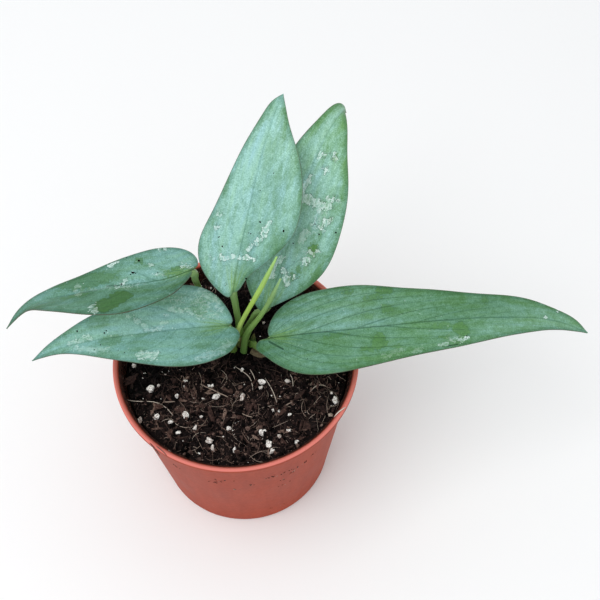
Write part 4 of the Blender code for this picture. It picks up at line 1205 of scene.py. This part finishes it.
def silver_leaf():
    """The upper skin of the leaf: satin green under a silver of air pockets, greener along the
    margin and in torn bare patches. The midrib and the side veins are darker lines, the margin has a
    hair-thin dull edge, and dried drops leave a chalky film. Painted shade darkens the leaf through its
    tone, and painted shadow lines run beside the films and along curled edges."""
    material, node = new_material("silver_leaf", {
        "Roughness": 0.45, "IOR": 1.42, "Specular IOR Level": 0.25})
    names = ("along", "across", "leaf", "vein", "rim", "bare", "bareness", "lace", "dried", "film",
             "dark", "dust", "silver", "tone", "margin", "veining", "rib")
    read = {n: node("Attribute", output="Fac", attribute_name=n) for n in names}
    place = node("CombineXYZ", read["along"], read["across"], read["leaf"])
    drawn_out = node("VectorMath", "MULTIPLY", place, (0.16, 1, 1))
    longer = node("VectorMath", "MULTIPLY", place, (0.4, 1, 1))
    # The air pockets are 0.05 mm wide in life, too fine to show, so they are drawn at 0.6 mm. They
    # drift in tufts 2 mm wide, in clouds 4 mm wide and 10 mm long, in bands 7 mm wide that run along
    # the leaf, and in streaks 1 mm wide that run with the side veins.
    pockets = node("TexNoise", place, scale=1.5, detail=3.0, roughness=0.7)
    clouds = node("TexNoise", longer, scale=0.22, detail=3.0, roughness=0.55, distortion=0.6)
    torn = node("TexNoise", place, scale=0.45, detail=3.0, roughness=0.6)
    bands = node("TexNoise", drawn_out, scale=0.14, detail=2.0)
    swept = node("CombineXYZ", read["vein"], read["along"], read["leaf"])
    swept = node("VectorMath", "MULTIPLY", swept, (3, 0.05, 1))
    streaks = node("TexNoise", swept, scale=1.0, detail=2.0, roughness=0.6)
    streak_weight = node("Math", "MULTIPLY_ADD", read["veining"], 0.6, 0.3)
    mottle = 0.0
    for pattern, weight in ((pockets, 0.7), (clouds, 1.3), (torn, 0.6), (bands, 1.0),
                            (streaks, streak_weight)):
        part = node("Math", "SUBTRACT", pattern, 0.5)
        mottle = node("Math", "MULTIPLY_ADD", part, weight, mottle)
    # A leaf with little silver has it more evenly.
    swing = node("MapRange", read["silver"], 0.2, 0.6, 0.55, 1.0)
    silver = node("Math", "SUBTRACT", read["silver"], read["margin"])
    silver = node("Math", "MULTIPLY_ADD", mottle, swing, silver)
    # Bare patches have torn edges: the noise moves their outline by about a millimetre.
    ragged = node("Math", "SUBTRACT", torn, 0.5)
    bare = node("Math", "MULTIPLY_ADD", ragged, 6.0, read["bare"])
    hole = node("MapRange", bare, -0.4, 0.6, interpolation_type="SMOOTHSTEP")
    hole = node("Math", "MULTIPLY", hole, read["bareness"])
    left = node("Math", "SUBTRACT", 1.0, hole)
    silver = node("Math", "MULTIPLY", silver, left, use_clamp=True)
    skin = node("Mix", silver, "659662", "A2D2C8")
    skin = node("Mix", hole, skin, "649555")
    # How light it is: its tone, which holds painted shade as well as the leaf's own depth of green,
    # duller along the rim and in the holes, with a fine grain.
    light = node("Math", "MULTIPLY_ADD", pockets, 1.1, 0.22)
    light = node("Math", "MULTIPLY_ADD", torn, 0.46, light)
    grain = node("Math", "SUBTRACT", streaks, 0.5)
    grain = node("Math", "MULTIPLY", grain, streak_weight)
    light = node("Math", "MULTIPLY_ADD", grain, 0.35, light)
    light = node("Math", "MULTIPLY_ADD", hole, -0.06, light)
    dull = node("MapRange", read["rim"], 0.6, 2.4, 0.76, 1.0, interpolation_type="SMOOTHSTEP")
    for factor in (dull, read["tone"]):
        light = node("Math", "MULTIPLY", light, factor)
    # Darker lines: the side veins; the midrib, 0.7 mm wide and darkest at its foot; the given dark
    # lines, painted shadow along curled edges and lifted films; and the brink of each bare patch.
    aside = node("Math", "ABSOLUTE", read["across"])
    midrib = node("MapRange", aside, 0.15, 0.65, 1.0, 0.0, interpolation_type="SMOOTHSTEP")
    midrib = node("Math", "MULTIPLY", midrib, read["rib"])
    dim = node("Math", "ADD", vein_lines(node, read, clouds), midrib)
    # Painted shadow along the given dark lines.
    scar = node("Math", "MULTIPLY_ADD", ragged, 1.0, read["dark"])
    scar = node("MapRange", scar, -0.1, 0.2, to_max=0.6)
    dim = node("Math", "ADD", dim, scar)
    brink = node("Math", "ABSOLUTE", bare)
    brink = node("MapRange", brink, 0.1, 0.6, 0.2, 0.0, interpolation_type="SMOOTHSTEP")
    dim = node("Math", "MULTIPLY_ADD", brink, read["bareness"], dim)
    bright = node("Math", "SUBTRACT", 1.0, dim)
    light = node("Math", "MULTIPLY", light, bright)
    # Where the leaf is darker its green is deeper, so the red falls off faster than the green.
    # Bands along the leaf, 3 mm wide and 20 mm long, are yellower or bluer at the same lightness.
    red = node("Math", "POWER", light, 1.3)
    blue = node("Math", "POWER", light, 1.1)
    tinge = node("TexNoise", drawn_out, scale=0.3, detail=2.0)
    tinge = node("Math", "MULTIPLY_ADD", tinge, -0.6, 1.3)
    blue = node("Math", "MULTIPLY", blue, tinge)
    depth = node("CombineXYZ", red, light, blue)
    colour = node("VectorMath", "MULTIPLY", skin, depth)
    young = node("VectorMath", "MULTIPLY", linear("94BC6E")[:3], depth)
    colour = node("Mix", young_green(node, read, aside), colour, young)
    edge = node("MapRange", read["rim"], 0.1, 0.5, 0.5, 0.0, interpolation_type="SMOOTHSTEP")
    colour = node("Mix", edge, colour, "565F4B")
    chalk, painted_film_shadow = dried_water(node, read, place, longer, clouds, ragged)
    # Painted shadow beside the films.
    colour = node("Mix", painted_film_shadow, colour, "3E5A4E")
    colour = node("Mix", chalk, colour, "DCF1EB")
    gloss = node("MapRange", pockets, 0.3, 0.7, 0.38, 0.54)
    height = node("Math", "MULTIPLY_ADD", pockets, 0.4, chalk)
    height = node("Math", "SUBTRACT", height, dim)
    bump = node("Bump", height=height, strength=0.4, distance=0.12 * MM)
    return finish(material, {"Base Color": colour, "Roughness": gloss, "Normal": bump})


def leaf_underside():
    """The lower skin: matt pale green without silver, with the veins a little paler."""
    material, node = new_material("leaf_underside", {"Roughness": 0.55, "IOR": 1.42})
    # The cells of the skin are too fine to show, so they are drawn at 0.8 mm, in clouds of 8 mm.
    names = ("along", "across", "leaf", "vein")
    read = {n: node("Attribute", output="Fac", attribute_name=n) for n in names}
    place = node("CombineXYZ", read["along"], read["across"], read["leaf"])
    cells = node("TexNoise", place, scale=1.2, detail=4.0)
    clouds = node("TexNoise", place, scale=0.12, detail=3.0)
    both = node("Math", "ADD", cells, clouds)
    share = node("MapRange", both, 0.7, 1.3)
    colour = node("Mix", share, "759A6B", "93B68A")
    main = node("Math", "PINGPONG", read["vein"], 0.5)
    main = node("MapRange", main, 0.01, 0.06, 0.5, 0.0, interpolation_type="SMOOTHSTEP")
    colour = node("Mix", main, colour, "A9C595")
    bump = node("Bump", height=cells, strength=0.3, distance=0.1 * MM)
    return finish(material, {"Base Color": colour, "Normal": bump})


def leaf_margin():
    """The cut of the blade: a thin dull edge, brown in places with green showing through."""
    material, node = new_material("leaf_margin", {"Roughness": 0.6, "Specular IOR Level": 0.2})
    # The brown comes and goes every 4 mm along the edge.
    in_mm = in_millimetres(node)
    patches = node("TexNoise", in_mm, scale=0.25, detail=3.0)
    share = node("MapRange", patches, 0.4, 0.6)
    colour = node("Mix", share, "4E4838", "3E5034")
    return finish(material, {"Base Color": colour})


def green_stalk(name, foot, middle, top):
    """A petiole's skin: waxy green streaked along its length, shaded from its foot to its joint."""
    material, node = new_material(name, {"Roughness": 0.38, "IOR": 1.42, "Specular IOR Level": 0.4})
    run = node("Attribute", output="Fac", attribute_name="run")
    turn = node("Attribute", output="Fac", attribute_name="turn")
    place = node("CombineXYZ", run, turn)
    # The streaks are 0.2 mm wide round the stalk and 10 mm long or more.
    drawn_out = node("VectorMath", "MULTIPLY", place, (6.0, 14.0, 1.0))
    streaks = node("TexNoise", drawn_out, scale=1.0, detail=5.0)
    shade = node("MapRange", streaks, 0.3, 0.7, 0.72, 1.18)
    base = node("ValToRGB", run, stops={0.0: foot, 0.45: middle, 1.0: top})
    colour = node("VectorMath", "SCALE", base, scale=shade)
    bump = node("Bump", height=streaks, strength=0.4, distance=0.1 * MM)
    return finish(material, {"Base Color": colour, "Normal": bump})


def sweep_mesh(centres, radii, section, lead, sides=PETIOLE_SIDES):
    """A closed skin round a path. section gives the share of the radius at an angle and a share of
    the length, and the angle counts from the side that faces lead at the path's far end."""
    heading = unit(np.gradient(centres, axis=0))
    front = np.empty_like(centres)
    carried = np.asarray(lead, float)
    for i in reversed(range(len(centres))):
        carried = carried - heading[i] * (carried @ heading[i])
        carried = carried / np.linalg.norm(carried)
        front[i] = carried
    side = np.cross(heading, front)
    angles = np.linspace(-math.pi, math.pi, sides, endpoint=False)
    shares = np.linspace(0, 1, len(centres))
    bm = bmesh.new()
    rings = []
    for i, share in enumerate(shares):
        reach = radii[i] * section(angles, share)
        ring = centres[i] + np.outer(reach * np.cos(angles), front[i])
        ring += np.outer(reach * np.sin(angles), side[i])
        rings.append([bm.verts.new(point) for point in ring])
    for low, high in zip(rings[:-1], rings[1:]):
        for k in range(sides):
            bm.faces.new((low[k], low[(k + 1) % sides], high[(k + 1) % sides], high[k]))
    bm.faces.new(reversed(rings[0]))
    bm.faces.new(rings[-1])
    bmesh.ops.recalc_face_normals(bm, faces=bm.faces)
    mesh = mesh_of(bm)
    set_values(mesh, "run", np.repeat(shares, sides))
    set_values(mesh, "turn", np.tile(np.cos(angles), len(shares)))
    mesh.set_sharp_from_angle(angle=math.radians(50))
    return mesh


def channelled(angles, share):
    """A petiole's section: round, with a shallow channel on top that closes at its joint."""
    depth = CHANNEL_DEPTH * min(share / 0.1, 1) * max(1 - share / 0.42, 0) ** 0.4
    return 1 - depth * np.exp(-(angles / CHANNEL_WIDTH) ** 2)


def stalk_mesh(leaf, blade):
    """The petiole from the crown up to the blade, running on as the rib under it."""
    shares = np.linspace(*MIDRIB_SPAN, MIDRIB_STEPS)
    rib_radii = np.linspace(*MIDRIB_RADII, MIDRIB_STEPS)
    rib = blade.under(shares * blade.length, rib_radii)
    joint = blade.under(np.array((0, JOINT_LENGTH)), np.array(JOINT_RADII))
    line = [*(np.array(leaf["petiole"]) * MM), *joint, rib[0]]
    petiole = smooth_path(line, PETIOLE_STEPS)[:-1]
    run = np.linalg.norm(np.diff(petiole, axis=0), axis=1).sum()
    joint_shares = 1 - np.linalg.norm(joint - rib[0], axis=1) / run
    shares = [*np.linspace(0, joint_shares[0], len(PETIOLE_RADII) + 1)[:-1], *joint_shares, 1]
    spread = np.linspace(0, 1, len(petiole))
    thickness = np.interp(spread, shares, [*PETIOLE_RADII, *JOINT_RADII, MIDRIB_RADII[0]])
    radii = np.concatenate([thickness, rib_radii])
    lead = blade.frame(blade.length)[3][0]
    return sweep_mesh(np.vstack([petiole, rib]), radii, channelled, lead)


leaf_skins = (silver_leaf(), leaf_underside(), leaf_margin())
petiole_skin = green_stalk("petiole_skin", "6C9040", "82A468", "8EAE74")
blades = {}
for number, (name, leaf) in enumerate(LEAVES.items()):
    blade = Blade(leaf)
    blades[name] = blade
    skin = add_piece(name + "_blade", blade_mesh(leaf, blade, number), "leaf_tissue", *leaf_skins)
    rim = skin.data.attributes["rim"]
    nearness = np.empty(len(skin.data.vertices), np.float32)
    rim.data.foreach_get("value", nearness)
    full = skin.vertex_groups.new(name="full_thickness")
    for index, weight in enumerate(np.clip(nearness / MARGIN_THINNING, 0, 1)):
        full.add((index,), float(weight), "REPLACE")
    shell = skin.modifiers.new("thickness", "SOLIDIFY")
    shell.thickness = BLADE_THICKNESS
    shell.offset = 0
    shell.vertex_group = "full_thickness"
    shell.thickness_vertex_group = MARGIN_THICKNESS
    shell.material_offset = 1
    shell.material_offset_rim = 2
    settle(skin, 50)
    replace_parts(skin, name)
    stalk = add_piece(name + "_stalk", stalk_mesh(leaf, blade), "leaf_tissue", petiole_skin)
    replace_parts(stalk, name)

# Soil and water on the leaves: specks of the mix that splashed up, and beads of clear water left
# after watering, flattened and irregular, which hold where the silver skin is rough.
DROP_HEIGHT = 0.4
SPECK_WIDTH = 1.9

places, sizes = [], []
for name, leaf in LEAVES.items():
    for along, across, radius in leaf["specks"]:
        places.append(blades[name].point(along * MM, across * MM, 0.5 * BLADE_THICKNESS)[0])
        sizes.append(radius * SPECK_WIDTH * MM)
tones = draw.uniform(0.02, 0.2, len(places))
specks = lumps_mesh(draw, places, sizes, tones, fineness=2, roughness=0.12, flatness=(0.5, 0.8))
add_piece("soil_specks", specks, "potting_mix", peat)


def clear_water():
    """Water: colourless, glass-clear, with a sharp highlight. Its rim is faintly milky with chalk."""
    material, node = new_material("clear_water", {
        "Roughness": 0.02, "IOR": 1.333, "Transmission Weight": 1.0})
    # The milky veil is patchy over 0.7 mm.
    place = node("TexCoord", output="Object")
    milk = node("TexNoise", place, scale=1500.0, detail=1.0)
    colour = node("Mix", milk, "E4F3EC", "FFFFFF")
    return finish(material, {"Base Color": colour})


def drops_mesh():
    """All the beads as one mesh: flat-bottomed domes with a wavering outline, set on the blades."""
    bm = bmesh.new()
    for name, leaf in LEAVES.items():
        host = blades[name]
        for along, across, length, width in leaf["drops"]:
            _, heading, aside, up = (v[0] for v in host.frame(along * MM))
            seat = host.point(along * MM, across * MM, 0.5 * BLADE_THICKNESS)[0]
            made = bmesh.ops.create_uvsphere(bm, u_segments=28, v_segments=16, radius=0.5)
            for vert in made["verts"]:
                x, y, z = vert.co
                waver = 1 + 0.22 * noise.noise(Vector((2.6 * x, 2.6 * y, along)))
                flat = seat + heading * x * length * waver * MM + aside * y * width * waver * MM
                vert.co = flat + up * max(z, -0.1) * 2 * DROP_HEIGHT * width * MM
    return mesh_of(in_fixed_order(bm))


add_piece("water_drops", drops_mesh(), "leaf_tissue", clear_water())

# Crown: the short rooted stem of the cutting, green where it stands clear of the mix, ringed by
# the scars of shed leaves, with its roots running down and out to the pot's floor.
STEM_RADIUS = 3.0 * MM
NODE_SWELLING = 0.5 * MM
STEM_FOOT = 58 * MM
STEM_TOP = 100 * MM
STEM_STEPS = 48
SCAR_HEIGHTS = (70 * MM, 78 * MM, 86 * MM, 93.5 * MM)
ROOT_COUNT = 6
ROOT_RADIUS = 1.5 * MM
ROOT_REACH = 27 * MM
ROOT_SIDES = 12
ROOT_STEPS = 30


def stem_profile():
    """The stem from its top down, swollen and scarred at each node."""
    scar = ((0, 1.6), (0.7, 0.6), (1, 0.1), (0.6, -0.1), (0.5, -0.5), (0, -1.5))
    points = [(0, STEM_TOP), *arc((STEM_RADIUS - 0.9 * MM, STEM_TOP - 0.9 * MM), 0.9 * MM, 90, 0)]
    for height in reversed(SCAR_HEIGHTS):
        points += [(STEM_RADIUS + swell * NODE_SWELLING, height + rise * MM) for swell, rise in scar]
    points += [(STEM_RADIUS, STEM_FOOT + 1 * MM), (STEM_RADIUS - 1 * MM, STEM_FOOT), (0, STEM_FOOT)]
    return points


def stem_skin():
    """The stem's skin: olive green going brown at the scars, dull and slightly ridged."""
    material, node = new_material("stem_skin", {"Roughness": 0.55})
    # The ridges are 1 mm wide and four times as long.
    in_mm = in_millimetres(node)
    drawn_out = node("VectorMath", "MULTIPLY", in_mm, (1, 1, 0.25))
    streaks = node("TexNoise", drawn_out, scale=0.9, detail=5.0)
    colour = node("ValToRGB", streaks, stops={
        0.3: "3F4B22", 0.5: "5F7533", 0.62: "6F6A3C", 0.75: "6A4E35"})
    bump = node("Bump", height=streaks, strength=0.6, distance=0.3 * MM)
    return finish(material, {"Base Color": colour, "Normal": bump})


def round_section(angles, share):
    """A root's section, a plain circle."""
    return np.ones(len(angles))


def root_paths():
    """Roots leave the foot of the stem all round, and run down and out to the pot's floor."""
    for number in range(ROOT_COUNT):
        angle = math.tau * (number + 0.3 * math.sin(number * 2.4)) / ROOT_COUNT
        out = np.array((math.cos(angle), math.sin(angle), 0))
        start = np.array((STEM_PLACE.x, STEM_PLACE.y, STEM_FOOT + (5 + 1.5 * (number % 3)) * MM))
        reach = ROOT_REACH * (0.8 + 0.1 * (number % 3))
        fall = (30 + 6 * (number % 2)) * MM
        down = np.array((0, 0, -fall))
        yield [start, start + 0.35 * reach * out + 0.2 * down, start + 0.8 * reach * out + 0.6 * down,
               start + reach * out + 1.35 * down]


stem_mesh = turned_mesh(stem_profile(), STEM_STEPS)
stem_mesh.transform(Matrix.Translation(STEM_PLACE))
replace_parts(add_piece("stem_body", stem_mesh, "stem_tissue", stem_skin()), "stem")
root_skin = green_stalk("living_root", "B8A27E", "C9B995", "E4DCC4")
for number, path in enumerate(root_paths()):
    centres = smooth_path(path, ROOT_STEPS)
    knobbly = [1 + 0.12 * noise.noise(Vector(centre) / (2 * MM)) for centre in centres]
    radii = np.linspace(ROOT_RADIUS, ROOT_RADIUS / 3, len(centres)) * knobbly
    mesh = sweep_mesh(centres, radii, round_section, (0, 0, 1), ROOT_SIDES)
    root = add_piece("root_%d" % (number + 1), mesh, "stem_tissue", root_skin)
    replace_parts(root, "stem")

# New leaves: two spears, each a whole leaf still rolled up tight, so one edge of the blade winds
# round it as a seam. The tall one is fresh lime green, the short one stands in its own stalk.
# The line of each spear and its radii, from foot to point, in mm.
TALL_SPEAR = ((1.1, 5.5, 107), (1.5, 5.5, 113), (3.6, 6.3, 120.5), (12.4, 9.6, 141), (21.7, 12.3, 166))
TALL_SPEAR_RADII = (1.15, 1.25, 1.2, 1.35, 1.1, 0.5)
SHORT_SPEAR = ((3.2, 7.4, 92.1), (3.7, 8, 95.5), (6.5, 10.1, 107), (10.8, 11.6, 114),
               (14.7, 12.6, 122), (22.9, 14.1, 146))
SHORT_SPEAR_RADII = (1.95, 1.85, 1.35, 1.2, 1.05, 0.5)
SEAM_TURNS = 0.6
SEAM_STEP = 0.16
SPEAR_SIDES = 40
SPEAR_STEPS = 90


def rolled(angles, share):
    """A rolled leaf's section: a spiral whose free edge stands proud and turns round the spear."""
    wound = ((angles - 0.9 + math.tau * SEAM_TURNS * share) / math.tau) % 1
    return 1 - SEAM_STEP + SEAM_STEP * wound


def spear_mesh(places, radii):
    """A spear along its line, thickest near the foot and drawn out to a point."""
    centres = smooth_path(np.array(places) * MM, SPEAR_STEPS)
    spread = np.linspace(0, len(radii) - 1, len(centres))
    reach = np.interp(spread, range(len(radii)), radii) * MM
    return sweep_mesh(centres, reach, rolled, (0.3, -0.9, 0.3), SPEAR_SIDES)


tall = add_piece("new_leaf_tall_roll", spear_mesh(TALL_SPEAR, TALL_SPEAR_RADII), "new_leaf_tissue",
                 green_stalk("rolled_leaf_lime", "A3C070", "A6C858", "A4D07A"))
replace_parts(tall, "new_leaf_tall")
short = add_piece("new_leaf_short_roll", spear_mesh(SHORT_SPEAR, SHORT_SPEAR_RADII), "new_leaf_tissue",
                  green_stalk("rolled_leaf_green", "5C8240", "86AE5C", "A6CE90"))
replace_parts(short, "new_leaf_short")

# Sheaths: a green wing still stands at the foot of the right leaf's petiole, and an old sheath,
# dried to tan paper, lies curled on the mix beside the crown.
# The line of each sheath, and the green one's radii, in mm.
GREEN_SHEATH = ((7.7, 11.4, 92.6), (8.2, 11.6, 97), (8.8, 11.3, 102.5))
GREEN_SHEATH_RADII = (2.3, 1.7, 0.15)
GREEN_SHEATH_SIDES = 32
GREEN_SHEATH_STEPS = 30
DRY_SHEATH = ((7.2, 7.4), (9.2, 5.8), (11.8, 4.4), (14.4, 3.6))
DRY_SHEATH_HALF_WIDTH = 1.7 * MM
DRY_SHEATH_THICKNESS = 0.5 * MM
DRY_SHEATH_CROWN = 1.0 * MM
DRY_SHEATH_CELLS = (40, 16)


def winged(angles, share):
    """The sheath's section: clasped to the petiole on one side, with a keel on the other."""
    return 0.82 + 0.18 * np.exp(-(angles / 0.5) ** 2) + 0.06 * np.cos(2 * angles)


def dry_paper():
    """A dried sheath: tan paper with brown fibres along it."""
    material, node = new_material("dry_sheath_paper", {"Roughness": 0.7})
    run = node("Attribute", output="Fac", attribute_name="run")
    turn = node("Attribute", output="Fac", attribute_name="turn")
    place = node("CombineXYZ", run, turn)
    # The fibres are 0.2 mm wide and 3 mm long.
    drawn_out = node("VectorMath", "MULTIPLY", place, (3.0, 9.0, 1.0))
    fibres = node("TexNoise", drawn_out, scale=1.0, detail=4.0)
    colour = node("ValToRGB", fibres, stops={0.3: "2E2418", 0.5: "5C5138", 0.7: "8E8059"})
    bump = node("Bump", height=fibres, strength=0.6, distance=0.15 * MM)
    return finish(material, {"Base Color": colour, "Normal": bump})


def dry_sheath_mesh():
    """A thin sheet curled down along its sides, torn at its end."""
    cells_along, cells_over = DRY_SHEATH_CELLS
    line = smooth_path(np.array(DRY_SHEATH) * MM, cells_along)
    bm = bmesh.new()
    bmesh.ops.create_grid(bm, x_segments=cells_along, y_segments=cells_over, size=0.5)
    heading = unit(line[-1] - line[0])
    runs, turns = [], []
    for vert in bm.verts:
        share = min(max(vert.co.x + 0.5, 0), 1)
        out = 2 * vert.co.y
        at = share * (len(line) - 1)
        x, y = (np.interp(at, range(len(line)), line[:, k]) for k in range(2))
        width = DRY_SHEATH_HALF_WIDTH * (1 - 0.75 * share ** 2)
        torn = 0.8 * MM * share ** 6 * noise.noise(Vector((out * 3, 0, 0)))
        x += -heading[1] * width * out + heading[0] * torn
        y += heading[0] * width * out + heading[1] * torn
        lift = DRY_SHEATH_CROWN * (1 - out * out) * (1 - 0.5 * share)
        ruffle = 0.12 * MM * noise.noise(Vector((share * 6, out * 2, 3)))
        vert.co = (x, y, MIX_TOP + MIX_RELIEF + 0.5 * DRY_SHEATH_THICKNESS + lift + ruffle)
        runs.append(share)
        turns.append(out)
    mesh = mesh_of(bm)
    set_values(mesh, "run", runs)
    set_values(mesh, "turn", turns)
    return mesh


green_line = smooth_path(np.array(GREEN_SHEATH) * MM, GREEN_SHEATH_STEPS)
green_spread = np.linspace(0, 2, GREEN_SHEATH_STEPS)
green_reach = np.interp(green_spread, (0, 1, 2), GREEN_SHEATH_RADII) * MM
wing_mesh = sweep_mesh(green_line, green_reach, winged, (0, -1, 0), GREEN_SHEATH_SIDES)
wing = add_piece("leaf_right_sheath", wing_mesh, "leaf_tissue",
                 green_stalk("sheath_skin", "2F4A26", "3A5A2C", "6F6642"))
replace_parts(wing, "leaf_right")
paper = add_piece("sheath_dry_paper", dry_sheath_mesh(), "dry_sheath", dry_paper())
skin_depth = paper.modifiers.new("thickness", "SOLIDIFY")
skin_depth.thickness = DRY_SHEATH_THICKNESS
skin_depth.offset = 0
settle(paper, 50)
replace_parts(paper, "sheath_dry")
